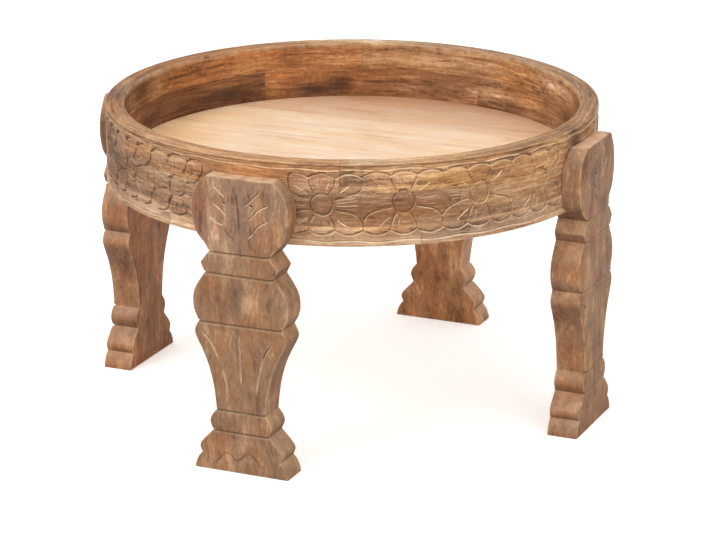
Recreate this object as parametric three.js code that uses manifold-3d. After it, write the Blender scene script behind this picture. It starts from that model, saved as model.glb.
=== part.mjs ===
// Low round table: a deep ring laid up from curved blocks, a boarded top sunk inside it, and four
// plank legs whose heads stand against the ring from outside while its underside sits on their shoulders.
// Millimetres, Z up. The origin is on the floor under the centre, and the front leg stands towards -Y.

import * as THREE from 'three';
import { mergeVertices } from 'three/addons/utils/BufferGeometryUtils.js';
import Module from 'manifold-3d';

const wasm = await Module();
wasm.setup();

// Ring
const ringOuterRadius = 350;
const ringWall = 26.5;
const topCourseHeight = 40;
const middleCourseHeight = 46;
const bottomCourseHeight = 28;
const edgeEase = 1.5;
const blockCount = 6;
const topCourseTurn = 51;
const middleCourseTurn = 18;
const bottomCourseTurn = 9;
const glueLine = 0.3;

// Tabletop boards, and what carries them. An outer board's width is its share of an inner board's.
const boardThickness = 16;
const innerBoardCount = 3;
const outerBoardShare = 1.3;
const boardClearance = 0.5;
const battenThickness = 15;
const battenWidth = 50;
const battenInset = 138.5;
const cleatWidth = 20;
const cleatSpread = 50;

// Legs: thickness, how far they stand outside the ring, and each moulding from the floor up
const legCount = 4;
const legThickness = 45.4;
const legProud = 24.6;
const footHeight = 58;
const footWidth = 139;
const torusHeight = 30;
const torusWidth = 92;
const vaseHeight = 124;
const vaseWidth = 136;
const bulbHeight = 70;
const bulbWidth = 141;
const collarHeight = 30;
const collarWidth = 114;
const headHeight = 104;
const headWidth = 143;
const shoulderRise = 13;
const grooveWidth = 5;
const grooveDepth = 4;

// Nails through the leg heads, and screws of the cleats and battens
const nailHeadWidth = 4;
const nailShank = 2.6;
const nailLength = 44;
const nailSink = 1;
const nailSpacing = 40;
const nailRise = 57;
const screwHeadWidth = 8;
const screwShank = 4;
const screwSink = 0.5;
const cleatScrewLength = 34;
const cleatScrewSpread = 36;
const battenScrewLength = 26;

// Gap left round a piece that fits into or against another one
const fitClearance = 0.3;
// How far a cutting shape runs past the face it opens
const overrun = 5;

// Fineness of the curved faces: degrees to a facet, points to a smooth run, sides to a round bar
const facetAngle = 3;
const pointsPerRun = 14;
const barSides = 10;
const fullTurn = 360;

// Places that follow from the sizes above
const ringInnerRadius = ringOuterRadius - ringWall;
const collarTop = footHeight + torusHeight + vaseHeight + bulbHeight + collarHeight;
const ringUnderside = collarTop + shoulderRise;
const boardUnderside = ringUnderside + battenThickness;
const tableHeight = boardUnderside + boardThickness;
const legTop = collarTop + headHeight;
const legFace = ringOuterRadius + legProud;

// Each moulding is a chain of smooth runs that meet at sharp corners. A point is its share of the
// moulding's half width and of its height.
const footShares = [
  [[1, 0], [0.985, 0.12], [0.925, 0.29], [0.842, 0.405]],
  [[0.842, 0.405], [0.885, 0.52], [0.878, 0.62], [0.8, 0.75]],
  [[0.8, 0.75], [0.6, 1]],
];
const torusShares = [
  [[0.9, 0], [0.98, 0.28], [1, 0.45], [0.943, 0.71], [0.795, 1]],
];
const vaseShares = [
  [
    [0.54, 0], [0.56, 0.12], [0.6, 0.28], [0.68, 0.46], [0.79, 0.62],
    [0.91, 0.75], [0.98, 0.83], [1, 0.885], [0.965, 0.94], [0.904, 1],
  ],
];
const bulbShares = [
  [[0.874, 0], [0.94, 0.114], [0.987, 0.243], [1, 0.414], [0.97, 0.6], [0.884, 0.77], [0.724, 1]],
];
const collarShares = [
  [[0.895, 0], [0.985, 0.35], [1, 0.43], [0.975, 0.52], [0.78, 1]],
];
const headShares = [
  [
    [0.622, 0], [0.75, 0.105], [0.885, 0.21], [0.965, 0.365], [1, 0.55],
    [0.95, 0.76], [0.846, 0.885], [0.7, 0.985],
  ],
  [[0.7, 0.985], [0.67, 1]],
];
const mouldings = [
  { height: footHeight, width: footWidth, runs: footShares },
  { height: torusHeight, width: torusWidth, runs: torusShares },
  { height: vaseHeight, width: vaseWidth, runs: vaseShares },
  { height: bulbHeight, width: bulbWidth, runs: bulbShares },
  { height: collarHeight, width: collarWidth, runs: collarShares },
  { height: headHeight, width: headWidth, runs: headShares },
];

// Directions at the front leg
const across = new THREE.Vector3(1, 0, 0);
const inwards = new THREE.Vector3(0, 1, 0);
const up = new THREE.Vector3(0, 0, 1);
const table = new THREE.Group();

function radians(degrees) {
  return THREE.MathUtils.degToRad(degrees);
}

// A closed mesh as a solid that can be cut.
function toSolid(geometry) {
  const bare = geometry.clone();
  bare.deleteAttribute('normal');
  bare.deleteAttribute('uv');
  const shared = mergeVertices(bare);
  return new wasm.Manifold(new wasm.Mesh({
    numProp: 3,
    vertProperties: shared.attributes.position.array,
    triVerts: new Uint32Array(shared.index.array),
  }));
}

// A cut solid back as a mesh.
function toGeometry(solid) {
  const mesh = solid.getMesh();
  const geometry = new THREE.BufferGeometry();
  geometry.setAttribute('position', new THREE.BufferAttribute(mesh.vertProperties, 3));
  geometry.setIndex(new THREE.BufferAttribute(mesh.triVerts, 1));
  geometry.computeVertexNormals();
  return geometry;
}

function cutAll(solid, cutters) {
  return cutters.reduce((rest, cutter) => rest.subtract(cutter), solid);
}

// Points along an arc round the origin, from one angle to another in degrees.
function arcPoints(radius, from, to) {
  const steps = Math.ceil(Math.abs(to - from) / facetAngle);
  return Array.from({ length: steps + 1 }, (_, i) => {
    const angle = radians(THREE.MathUtils.lerp(from, to, i / steps));
    return new THREE.Vector2(radius * Math.cos(angle), radius * Math.sin(angle));
  });
}

// An upright prism of a plan outline, with its ends exactly at the two heights.
function uprightPrism(outline, low, high) {
  const geometry = new THREE.ExtrudeGeometry(new THREE.Shape(outline), { depth: 1, bevelEnabled: false });
  const positions = geometry.attributes.position;
  for (let i = 0; i < positions.count; i += 1) {
    positions.setZ(i, THREE.MathUtils.lerp(low, high, positions.getZ(i)));
  }
  return geometry;
}

// A profile of (radius, height) points turned about the Z axis, its first facet at the given angle.
function turned(profile, turn = 0) {
  const geometry = new THREE.LatheGeometry(profile, fullTurn / facetAngle, radians(turn + fullTurn / 4));
  return geometry.rotateX(Math.PI / 2);
}

// Where a nail or screw goes: its head's place, and the direction in which it is driven.
function drive(headPoint, direction) {
  const turn = new THREE.Quaternion().setFromUnitVectors(inwards, direction);
  return new THREE.Matrix4().compose(headPoint, turn, new THREE.Vector3(1, 1, 1));
}

// A countersunk bar with a point: head, shank and tip along +Y from the head's face.
function fastenerGeometry(headWidth, shank, length) {
  const headRadius = headWidth / 2;
  const shankRadius = shank / 2;
  const coneDepth = headRadius - shankRadius;
  return new THREE.LatheGeometry([
    new THREE.Vector2(0, 0),
    new THREE.Vector2(headRadius, 0),
    new THREE.Vector2(shankRadius, coneDepth),
    new THREE.Vector2(shankRadius, length - shank),
    new THREE.Vector2(0, length),
  ], barSides);
}

// The hole for that bar, wider by the fit and open past the face that its head is sunk below.
function fastenerHole(headWidth, shank, length, sink) {
  const headRadius = headWidth / 2 + fitClearance;
  const shankRadius = shank / 2 + fitClearance;
  return new THREE.LatheGeometry([
    new THREE.Vector2(0, -sink - overrun),
    new THREE.Vector2(headRadius, -sink - overrun),
    new THREE.Vector2(headRadius, fitClearance),
    new THREE.Vector2(shankRadius, headRadius - shankRadius + fitClearance),
    new THREE.Vector2(shankRadius, length + fitClearance),
    new THREE.Vector2(0, length + fitClearance),
  ], barSides);
}

function holeSolid(hole, placement) {
  return toSolid(hole.clone().applyMatrix4(placement));
}

function wood(colour, roughness = 0.62) {
  return new THREE.MeshStandardMaterial({ color: colour, roughness, metalness: 0 });
}

function steel() {
  return new THREE.MeshStandardMaterial({ color: 0x6f6a62, roughness: 0.45, metalness: 0.9 });
}

function addPiece(parent, name, geometry, material, placement = null) {
  const mesh = new THREE.Mesh(geometry, material);
  mesh.name = name;
  if (placement) {
    mesh.applyMatrix4(placement);
  }
  parent.add(mesh);
}

// Nails: two in each leg's head, given in the frame of the front leg
const nail = fastenerGeometry(nailHeadWidth, nailShank, nailLength);
const nailHole = fastenerHole(nailHeadWidth, nailShank, nailLength, nailSink);
const nailPlacements = [-nailSpacing / 2, nailSpacing / 2].map((x) => (
  drive(new THREE.Vector3(x, -legFace + nailSink, ringUnderside + nailRise), inwards)
));
const legTurns = Array.from({ length: legCount }, (_, i) => (
  new THREE.Matrix4().makeRotationZ(radians(fullTurn * i / legCount))
));
const ringNailHoles = legTurns.flatMap((turn) => (
  nailPlacements.map((placement) => holeSolid(nailHole, turn.clone().multiply(placement)))
));

// Cleat screws: two in each cleat, driven outwards into the ring's bottom course
const cleatOuterRadius = ringInnerRadius - fitClearance;
const cleatInnerRadius = cleatOuterRadius - cleatWidth;
const cleatNames = ['right', 'back', 'left', 'front'];
const cleatScrew = fastenerGeometry(screwHeadWidth, screwShank, cleatScrewLength);
const cleatScrewHole = fastenerHole(screwHeadWidth, screwShank, cleatScrewLength, screwSink);
const cleatScrewHeight = ringUnderside + battenThickness / 2;

function cleatScrewPlacements(middleAngle) {
  return [-cleatScrewSpread / 2, cleatScrewSpread / 2].map((offset) => {
    const outwards = across.clone().applyAxisAngle(up, radians(middleAngle + offset));
    const head = outwards.clone().multiplyScalar(cleatInnerRadius + screwSink);
    return drive(head.setZ(cleatScrewHeight), outwards);
  });
}

const cleats = cleatNames.map((name, i) => {
  const middleAngle = fullTurn * i / cleatNames.length;
  return { name, middleAngle, placements: cleatScrewPlacements(middleAngle) };
});
const ringScrewHoles = cleats.flatMap((cleat) => (
  cleat.placements.map((placement) => holeSolid(cleatScrewHole, placement))
));

// Ring: three courses of curved blocks, each course turned so that the joints break like brickwork
function courseProfile(low, high, easedLow, easedHigh) {
  const lowEase = easedLow ? edgeEase : 0;
  const highEase = easedHigh ? edgeEase : 0;
  const points = [
    new THREE.Vector2(ringInnerRadius + lowEase, low),
    new THREE.Vector2(ringOuterRadius - lowEase, low),
  ];
  if (easedLow) {
    points.push(new THREE.Vector2(ringOuterRadius, low + lowEase));
  }
  points.push(new THREE.Vector2(ringOuterRadius, high - highEase));
  if (easedHigh) {
    points.push(new THREE.Vector2(ringOuterRadius - highEase, high));
  }
  points.push(new THREE.Vector2(ringInnerRadius + highEase, high));
  if (easedHigh) {
    points.push(new THREE.Vector2(ringInnerRadius, high - highEase));
  }
  if (easedLow) {
    points.push(new THREE.Vector2(ringInnerRadius, low + lowEase));
  }
  points.push(points[0].clone());
  return points;
}

function blockWedge(from, to, low, high) {
  const lineAngle = THREE.MathUtils.radToDeg(glueLine / 2 / (ringInnerRadius + ringWall / 2));
  const arc = arcPoints(ringOuterRadius + overrun, from + lineAngle, to - lineAngle);
  const outline = [new THREE.Vector2(0, 0), ...arc];
  return toSolid(uprightPrism(outline, low - overrun, high + overrun));
}

const middleCourseLow = ringUnderside + bottomCourseHeight;
const topCourseLow = middleCourseLow + middleCourseHeight;
const courses = [
  {
    name: 'bottom', low: ringUnderside, high: middleCourseLow, turn: bottomCourseTurn,
    easedLow: true, easedHigh: false, holes: ringScrewHoles, tones: [0xc9a077, 0xc69b70, 0xcda67e],
  },
  {
    name: 'middle', low: middleCourseLow, high: topCourseLow, turn: middleCourseTurn,
    easedLow: false, easedHigh: false, holes: ringNailHoles, tones: [0xab8560, 0xb58c63, 0xa67f5c],
  },
  {
    name: 'top', low: topCourseLow, high: topCourseLow + topCourseHeight, turn: topCourseTurn,
    easedLow: false, easedHigh: true, holes: [], tones: [0xb08a66, 0xa98260, 0xb9906a],
  },
];

for (const course of courses) {
  const profile = courseProfile(course.low, course.high, course.easedLow, course.easedHigh);
  const wholeCourse = cutAll(toSolid(turned(profile, course.turn)), course.holes);
  const blockAngle = fullTurn / blockCount;
  for (let i = 0; i < blockCount; i += 1) {
    const from = course.turn + i * blockAngle;
    const block = wholeCourse.intersect(blockWedge(from, from + blockAngle, course.low, course.high));
    const tone = course.tones[i % course.tones.length];
    addPiece(table, `ring_${course.name}_block_${i + 1}`, toGeometry(block), wood(tone));
  }
}

// Tabletop boards, side by side along X, numbered from the front
const boardRadius = ringInnerRadius - boardClearance;
const innerBoardWidth = 2 * boardRadius / (innerBoardCount + 2 * outerBoardShare);
const innerBoardsHalf = innerBoardWidth * innerBoardCount / 2;
const boardEdges = [
  -boardRadius,
  ...Array.from({ length: innerBoardCount + 1 }, (_, i) => i * innerBoardWidth - innerBoardsHalf),
  boardRadius,
];

function boardOutline(front, back) {
  const from = THREE.MathUtils.radToDeg(Math.asin(front / boardRadius));
  const to = THREE.MathUtils.radToDeg(Math.asin(back / boardRadius));
  const right = arcPoints(boardRadius, from, to);
  const left = right.map((point) => new THREE.Vector2(-point.x, point.y)).reverse();
  if (back === boardRadius) {
    left.shift();
  }
  if (front === -boardRadius) {
    left.pop();
  }
  return [...right, ...left];
}

// Battens across the undersides of the boards, their ends square and just clear of the ring
const battenMiddle = ringInnerRadius - battenInset;
const battenReach = battenMiddle + battenWidth / 2;
const battenHalfLength = Math.sqrt((ringInnerRadius - boardClearance) ** 2 - battenReach ** 2);
const battenScrew = fastenerGeometry(screwHeadWidth, screwShank, battenScrewLength);
const battenScrewHole = fastenerHole(screwHeadWidth, screwShank, battenScrewLength, screwSink);

// A screw goes into each board where the batten crosses it, midway along the crossing.
function battenScrewPlacements(x) {
  return boardEdges.slice(1).map((edge, i) => {
    const front = Math.max(boardEdges[i], -battenHalfLength);
    const back = Math.min(edge, battenHalfLength);
    return drive(new THREE.Vector3(x, (front + back) / 2, ringUnderside + screwSink), up);
  });
}

const battens = [
  { name: 'left', x: -battenMiddle },
  { name: 'right', x: battenMiddle },
].map((batten) => ({ ...batten, placements: battenScrewPlacements(batten.x) }));

const boardTones = [0xe6c298, 0xefcfa4, 0xebc99d, 0xf0d2a8, 0xe3bb90];
boardTones.forEach((tone, i) => {
  const outline = boardOutline(boardEdges[i], boardEdges[i + 1]);
  const blank = toSolid(uprightPrism(outline, boardUnderside, tableHeight));
  const holes = battens.map((batten) => holeSolid(battenScrewHole, batten.placements[i]));
  addPiece(table, `top_board_${i + 1}`, toGeometry(cutAll(blank, holes)), wood(tone, 0.7));
});

for (const batten of battens) {
  const left = batten.x - battenWidth / 2;
  const right = batten.x + battenWidth / 2;
  const outline = [
    new THREE.Vector2(left, -battenHalfLength),
    new THREE.Vector2(right, -battenHalfLength),
    new THREE.Vector2(right, battenHalfLength),
    new THREE.Vector2(left, battenHalfLength),
  ];
  const blank = toSolid(uprightPrism(outline, ringUnderside, boardUnderside));
  const holes = batten.placements.map((placement) => holeSolid(battenScrewHole, placement));
  addPiece(table, `batten_${batten.name}`, toGeometry(cutAll(blank, holes)), wood(0xa98562));
  batten.placements.forEach((placement, i) => {
    addPiece(table, `batten_${batten.name}_screw_${i + 1}`, battenScrew, steel(), placement);
  });
}

// Cleats on the ring's inner wall, which carry the boards' ends and the outer boards' edges
for (const cleat of cleats) {
  const from = cleat.middleAngle - cleatSpread / 2;
  const to = cleat.middleAngle + cleatSpread / 2;
  const outline = [...arcPoints(cleatOuterRadius, from, to), ...arcPoints(cleatInnerRadius, to, from)];
  const blank = toSolid(uprightPrism(outline, ringUnderside, boardUnderside));
  const holes = cleat.placements.map((placement) => holeSolid(cleatScrewHole, placement));
  addPiece(table, `cleat_${cleat.name}`, toGeometry(cutAll(blank, holes)), wood(0xa17c5a));
  cleat.placements.forEach((placement, i) => {
    addPiece(table, `cleat_${cleat.name}_screw_${i + 1}`, cleatScrew, steel(), placement);
  });
}

// Legs: one sawn outline, extruded through the plank's thickness. Each run starts where the one before
// it ended, so that neighbouring mouldings meet in one point at their neck.
function legSide() {
  const points = [];
  let base = 0;
  for (const moulding of mouldings) {
    for (const run of moulding.runs) {
      const places = run.map(([out, rise]) => (
        new THREE.Vector2(out * moulding.width / 2, base + rise * moulding.height)
      ));
      if (points.length > 0) {
        places[0] = points.pop();
      }
      const smooth = places.length > 2 ? new THREE.SplineCurve(places).getPoints(pointsPerRun) : places;
      points.push(...smooth);
    }
    base += moulding.height;
  }
  return points;
}

function legBlank() {
  const right = legSide();
  const left = right.map((point) => new THREE.Vector2(-point.x, point.y)).reverse();
  const shape = new THREE.Shape([...right, ...left]);
  const geometry = new THREE.ExtrudeGeometry(shape, { depth: legThickness, bevelEnabled: false });
  geometry.rotateX(Math.PI / 2);
  geometry.translate(0, legThickness - legFace, 0);
  return toSolid(geometry);
}

// The head's back is hollowed to the ring, which leaves the shoulder that the ring sits on.
function ringSeat() {
  const seatRadius = ringOuterRadius + fitClearance;
  return toSolid(turned([
    new THREE.Vector2(0, ringUnderside),
    new THREE.Vector2(seatRadius, ringUnderside),
    new THREE.Vector2(seatRadius, legTop + overrun),
    new THREE.Vector2(0, legTop + overrun),
  ]));
}

// A V-groove straight across the face at each neck between two mouldings. Its section is drawn with
// the way into the wood and the way up as its two axes, and is carried across the leg.
function faceGroove(height) {
  const reach = headWidth / 2 + overrun;
  const halfMouth = grooveWidth / 2 * (1 + overrun / grooveDepth);
  const section = new THREE.Shape([
    new THREE.Vector2(-legFace - overrun, height - halfMouth),
    new THREE.Vector2(-legFace + grooveDepth, height),
    new THREE.Vector2(-legFace - overrun, height + halfMouth),
  ]);
  const geometry = new THREE.ExtrudeGeometry(section, { depth: 2 * reach, bevelEnabled: false });
  geometry.translate(0, 0, -reach);
  geometry.applyMatrix4(new THREE.Matrix4().makeBasis(inwards, up, across));
  return toSolid(geometry);
}

function neckHeights() {
  let base = 0;
  return mouldings.slice(0, -1).map((moulding) => {
    base += moulding.height;
    return base;
  });
}

const legGeometry = toGeometry(cutAll(legBlank(), [
  ringSeat(),
  ...neckHeights().map(faceGroove),
  ...nailPlacements.map((placement) => holeSolid(nailHole, placement)),
]));
const legNames = ['front', 'right', 'back', 'left'];
const legTones = [0xa5805f, 0xa17a58, 0xb38b66, 0x996f4e];
legNames.forEach((name, i) => {
  const corner = new THREE.Group();
  corner.applyMatrix4(legTurns[i]);
  addPiece(corner, `leg_${name}`, legGeometry, wood(legTones[i]));
  nailPlacements.forEach((placement, side) => {
    addPiece(corner, `leg_${name}_nail_${side + 1}`, nail, steel(), placement);
  });
  table.add(corner);
});

export default table;
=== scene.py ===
import math

import bpy
import numpy as np
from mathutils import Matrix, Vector
from mathutils.geometry import delaunay_2d_cdt


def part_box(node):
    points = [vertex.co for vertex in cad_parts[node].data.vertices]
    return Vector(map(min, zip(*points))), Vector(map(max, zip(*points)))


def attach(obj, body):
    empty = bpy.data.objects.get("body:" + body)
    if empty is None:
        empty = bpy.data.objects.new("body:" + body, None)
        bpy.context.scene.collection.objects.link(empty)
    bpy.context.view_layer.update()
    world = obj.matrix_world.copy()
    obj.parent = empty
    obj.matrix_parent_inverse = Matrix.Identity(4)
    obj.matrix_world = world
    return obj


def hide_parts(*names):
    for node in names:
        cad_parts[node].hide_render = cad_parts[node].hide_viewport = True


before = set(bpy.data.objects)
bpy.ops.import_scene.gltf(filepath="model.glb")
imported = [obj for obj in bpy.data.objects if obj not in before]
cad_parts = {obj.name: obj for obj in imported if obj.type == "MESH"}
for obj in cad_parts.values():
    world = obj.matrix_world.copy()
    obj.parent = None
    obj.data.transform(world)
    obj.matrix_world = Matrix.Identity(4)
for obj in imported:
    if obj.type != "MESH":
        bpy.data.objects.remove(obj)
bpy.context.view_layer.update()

# A round low table: a ring laid up from carved blocks, a boarded top sunk inside it and four plank
# legs. Metres, Z up. Points of the carving are written in millimetres and scaled by MM.
MM = 0.001
SEED = 20
TURN = 2 * math.pi

# Fineness of the carved faces
CUT_STEP = 1.7 * MM
EDGE_STEP = 1.3 * MM
FIELD_STEP = 3.6 * MM
CLOSEST_CUT_POINTS = 0.55 * MM
TIP_GUARD = 0.9 * MM
WEAKEST_TIP = 0.12
CLOSEST_FIELD_POINTS = 1.7 * MM
SPACING_CELL = 1.2 * MM
SHARP_ANGLE = math.radians(24)

# Worn edges: the ring's rim and foot, the hairlines between its courses, the legs and the boards
RIM_EASE = 2.6 * MM
FOOT_EASE = 2.0 * MM
SEAM_EASE = 0.22 * MM
LEG_EASE = 1.9 * MM
BOARD_EASE = 0.35 * MM
UNEVENNESS = 0.22 * MM
CHORD_SHARE = 0.2
SHOULDER_STEP = 0.15 * MM
# An edge eased by less than this stays crisp
WORN_EASE = 1 * MM
# How pale wear makes the ring's rim, its other edges, and a plank's edges in front, behind and beside
RIM_WEAR = 0.4
RING_WEAR = 0.6
FRONT_WEAR = 0.5
BACK_WEAR = 0.6
BESIDE_WEAR = 0.2

# The ring's flowers: how many would go round, how high they stand above its underside, which places the
# leg heads cover, and where and how much heavier the hand is
FLOWER_PLACES = 20
FLOWER_RISE = 59 * MM
LEG_PLACES = (0, 5, 10, 15)
HEAVY_PLACES = (11, 12, 13, 14, 16)
HEAVY_HAND = (1.15, 1.35)
LIGHT_HAND = (0.85, 1.05)
# A hand heavier than this cuts the upper line of a flower's corner in full
FIRM_HAND = 1.1
BOSS_RADIUS = 15
HALF_PITCH = 55
CUSP_UP, CREST_UP = 35.5, 41.5
CUSP_DOWN, CREST_DOWN = -36.5, -43
SCALLOP_POWER = 0.8
# How far the carver's hand strays from the lines of a flower, in millimetres
BOSS_LOOSE = 0.15
SCALLOP_LOOSE = 0.25
PETAL_LOOSE = 0.7
FAN_LOOSE = 0.8
STROKE_LOOSE = 1.3
VEIN_LOOSE = 1.4

# Where the carver's hand set single flowers, in millimetres: along the ring, upwards, and their upper
# scallops upwards
SHIFTS = {
    13: (-4.3, -1.3, -1), 14: (-4.5, -2.7, -1), 16: (-5, -2.2, -0.5), 17: (-4.8, 1.6, 1.5),
    18: (-6, 4.5, 1.5), 19: (-8.5, 2.2, 2), 3: (2, 1.5, 0), 4: (4, -1.5, 1), 8: (-3, 2, 1),
    11: (-2, -1.5, 0),
}
# Flowers and sides whose fan of strokes is closed by a curved cut
CLOSED_FANS = ((13, 1), (14, -1), (18, -1), (3, 1), (7, -1), (8, 1), (11, -1))

# Lines of one flower's right half, in millimetres from its centre
PETAL_SIDE_UP = [(18.3, 35.5), (16.8, 29), (13.4, 21.5), (9, 14)]
PETAL_SIDE_DOWN = [(18.3, -36.5), (16.6, -29), (13, -21), (9, -14)]
CORNER_SIDE_UP = [(55, 34), (53.5, 25), (49, 17.5), (39, 13), (26, 9), (14.5, 5.5)]
CORNER_SIDE_DOWN = [(55, -37), (54.5, -25), (49.5, -17), (39, -11), (27, -8.5), (15, -6)]
LEAF_SIDE_UP = [(36.7, 41.5), (45, 37), (45.5, 27), (41.5, 17), (32, 10.5), (22, 8), (14.5, 6.5)]
LEAF_SIDE_DOWN = [(36.7, -43), (46, -38.5), (46.5, -28), (42, -17), (32, -10.5), (22, -8.5), (15, -7)]
SIDE_END = [(44, 9.5), (48, 2), (46, -6), (43, -11.5)]
FAN_STROKES = [
    [(15.5, 5.5), (30, 8.5), (47, 12)], [(16.5, 2.8), (31, 4.8), (50, 7.5)],
    [(16.5, 0), (30, 0.5), (50, 1.5)], [(16.5, -2.8), (31, -3.6), (48, -4)],
    [(15.5, -5.2), (28, -7), (42, -9)],
]
CORNER_VEIN_UP = [(17.5, 14), (26, 19.5), (37, 27)]
CORNER_VEIN_DOWN = [(18, -16.5), (27, -24.5), (37.5, -33)]
TOP_STROKES = [[(-1.5, 23), (-4, 36)], [(-8.5, 20), (-12, 29)], [(6, 21), (10, 31)], [(2, 21), (4, 33)]]
BOTTOM_STROKES = [[(-6.5, -20), (-9.5, -33)], [(0.5, -20), (1, -35)], [(7.5, -20), (11.5, -33)]]

# Lines along the ring: (millimetres above the flowers' level, half the wave's height, kind)
BORDERS = ((51.2, 0.4, "rim"), (47, 1, "border"), (-48, 0.8, "fine"), (-51.5, 1, "border"))


def v_cut(width, depth, sunk, pale):
    """A kind of cut, given in millimetres. The wood beside it has sunk, and its lit wall is painted pale:
    a painted highlight on partly paler cut wood.
    """
    return width * MM, depth * MM, sunk * MM, pale


# Cuts of the ring, then those of the legs
BOSS_CUT = v_cut(1.7, 0.95, 1.0, 0.7)
OUTLINE_CUT = v_cut(2.1, 1.25, 1.7, 1.1)
PETAL_CUT = v_cut(1.8, 1.1, 1.4, 0.85)
FAINT_CUT = v_cut(1.5, 0.8, 0.5, 0.4)
STROKE_CUT = v_cut(1.7, 0.9, 0.0, 1.1)
FAN_CUT = v_cut(1.45, 0.85, 0.0, 0.38)
BORDER_CUTS = {
    "rim": v_cut(1.8, 1.3, 0.2, 0.1), "border": v_cut(2.0, 1.1, 0.3, 0.75), "fine": v_cut(1.3, 0.7, 0.0, 0.2)}
NECK_CUT = v_cut(5.0, 4.0, 0.0, 0.2)
FLUTE_CUT = v_cut(3.2, 1.2, 0.5, 0.62)
HEAD_CUT = v_cut(2.7, 1.2, 0.2, 0.75)
WAVE_CUT = v_cut(2.4, 1.3, 0.0, 0.0)
SCRATCH_CUT = v_cut(1.7, 0.6, 0.0, 0.0)
NAIL_CUT = v_cut(5.4, 3.0, 0.0, 0.3)

# How far from a cut the wood has sunk, how deep and how round a boss falls away, and how much the
# painted highlight on single cuts' lit walls varies
SOFT_REACH = 6 * MM
BOSS_FALL = 2.4 * MM
DOME_POWER = 2.5
PALENESS = (0.3, 1.0)

# Which way a cut's wall has to lean, across and up the face, to get a painted highlight (the way the light
# comes from), and how much wider that wall is than the steep one over it
LIT_WAY = np.array((-0.3, 0.9))
LIT_SHARE = 0.45
# How far a face turns out of the carved plane where it begins to look cut and where it fully does, and
# the lean at which a cut's wall gets its full painted highlight or its full painted shade
STEEP = (0.09, 0.22)
FULL_LEAN = 0.5

# Legs: the steps along their walls, the gap to the ring, and where points stand down their sides
WALL_STEP = 2.4 * MM
CORNER_TURN = math.radians(22)
SEAT_GAP = 0.3 * MM
LEG_WALL_SHARES = (0.3, 0.5, 0.7, 0.88)
# How their cuts and sides look: how strongly the cuts show pale wood and a painted highlight, the lean
# below which a cut's wall gets painted shade, the dark stain of the thin lines, and how strongly a side is
# painted pale where it slopes up and dark where it slopes down, as painted highlight and painted shade
LEG_PALE_WOOD_AND_HIGHLIGHT = 1.0
LEG_SHADE = -0.34
THIN_LINE_STAIN = 0.28
SIDE_LEAN = (0.35, 0.72)
# A face whose normal points less than this outwards belongs to a side. Light from the side counts this
# much in the painted highlight and shade, and the walls of cuts that get no painted shade are painted
# this much paler than their lean says, and never less pale than the last
SIDE_TURN = 0.3
SIDEWAYS_LIGHT = 0.4
PALE_LIFT = 0.2
LEAST_PALE = 0.65
# How deep below the face its patches and its waviness reach, and how pale the heads' end grain is
PATCH_DEPTH = 10 * MM
WAVY_DEPTH = 8 * MM
END_GRAIN_TONE = 1.55
END_GRAIN_WEAR = 0.9
# How much the cuts' painted highlight varies and how strong their painted shade and dirt are on the legs
# other than the front one, and how wide the strokes on their heads spread
OTHER_PALENESS = (0.3, 0.8)
OTHER_SHADE_AND_DIRT = 0.5
OTHER_HEAD_WIDTH = 0.6

# How the legs' faces are rounded: (height, reach in from the outline, fall at the outline)
PILLOW = np.array((
    (0, 5, 0.8), (86, 5, 0.8), (95, 10, 2.2), (205, 12, 2.6), (212, 8, 1.5), (219, 15, 3.6),
    (275, 15, 3.6), (283, 5, 0.8), (311, 5, 0.8), (322, 18, 4.6), (400, 18, 4.6), (416, 9, 2.2)))

# Camera, floor and lamps
CAMERA_PLACE = (1.6794, -3.8028, 1.5286)
CAMERA_ANGLES = (23.713, 17.973)
SENSOR_WIDTH = 36
LENS = 151.77
FLOOR_REACH = 14
FLOOR_COLOUR = (0.9, 0.9, 0.9)
FLOOR_LIFT = 0.47
WORLD_STRENGTH = 0.78
LAMP_TARGET = (0, 0, 0.25)

# Lines on a leg's face, in millimetres from its middle and from the floor
LEG_HEAD_STROKES = [
    [(-38, 406), (-29, 399), (-18, 389)],
    [(-40, 382), (-28, 375), (-15, 363)],
    [(-43, 362), (-32, 354.5), (-21, 350)],
    [(6, 377), (19, 390), (35, 405)],
    [(11, 357), (21, 368), (30, 378), (49, 386.5)],
    [(11, 332), (21, 344), (30, 355), (49, 366)],
]
LEG_THIN_LINES = [
    [(-4.5, 410), (-1.5, 388), (0.5, 360), (1, 330)],
    [(-23, 350), (-15, 340), (-5, 331)],
]
LEG_SCRATCHES = [
    [(5, 122), (6, 108)], [(9, 124), (10, 113)], [(14, 121), (15, 109)], [(22, 122), (21, 106)],
    [(-2, 54), (4, 44), (7, 35)], [(4, 56), (9, 46)],
]
LEG_FLUTES = [
    [(-57, 199), (-46, 187), (-38.5, 176), (-31, 160)],
    [(-27, 152), (-23, 139), (-20.4, 127), (-19.5, 113), (-19.5, 96)],
    [(-1, 205), (0, 175), (1, 150), (2, 124)],
    [(52, 197), (41, 182), (34, 167), (30, 153), (27.5, 139), (25, 126), (23, 110)],
]
LEG_WAVE = [
    (-51, 9), (-38, 11.5), (-31, 20), (-25, 26), (-18, 27.6), (-13, 25), (-9, 20), (-4, 18.4),
    (1, 22), (6, 28), (13, 30), (20, 27), (24.5, 20.5), (29, 15), (37, 11),
]


# Places read from the frame
def read(items, key, width=1, kind=np.float32):
    """One property of a mesh's vertices, edges, faces or corners, as an array."""
    flat = np.empty(len(items) * width, kind)
    items.foreach_get(key, flat)
    return flat.reshape(-1, width) if width > 1 else flat


def points_of(name):
    return read(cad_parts[name].data.vertices, "co", 3).astype(float)


def numbered(prefix):
    return sorted(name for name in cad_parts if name.startswith(prefix) and "screw" not in name)


RING_RADIUS = np.hypot(*points_of("ring_middle_block_1").T[:2]).max()
RING_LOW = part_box("ring_bottom_block_1")[0][2]
FLOWER_HEIGHT = RING_LOW + FLOWER_RISE
LEG_FACE = -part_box("leg_front")[0][1]


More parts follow.
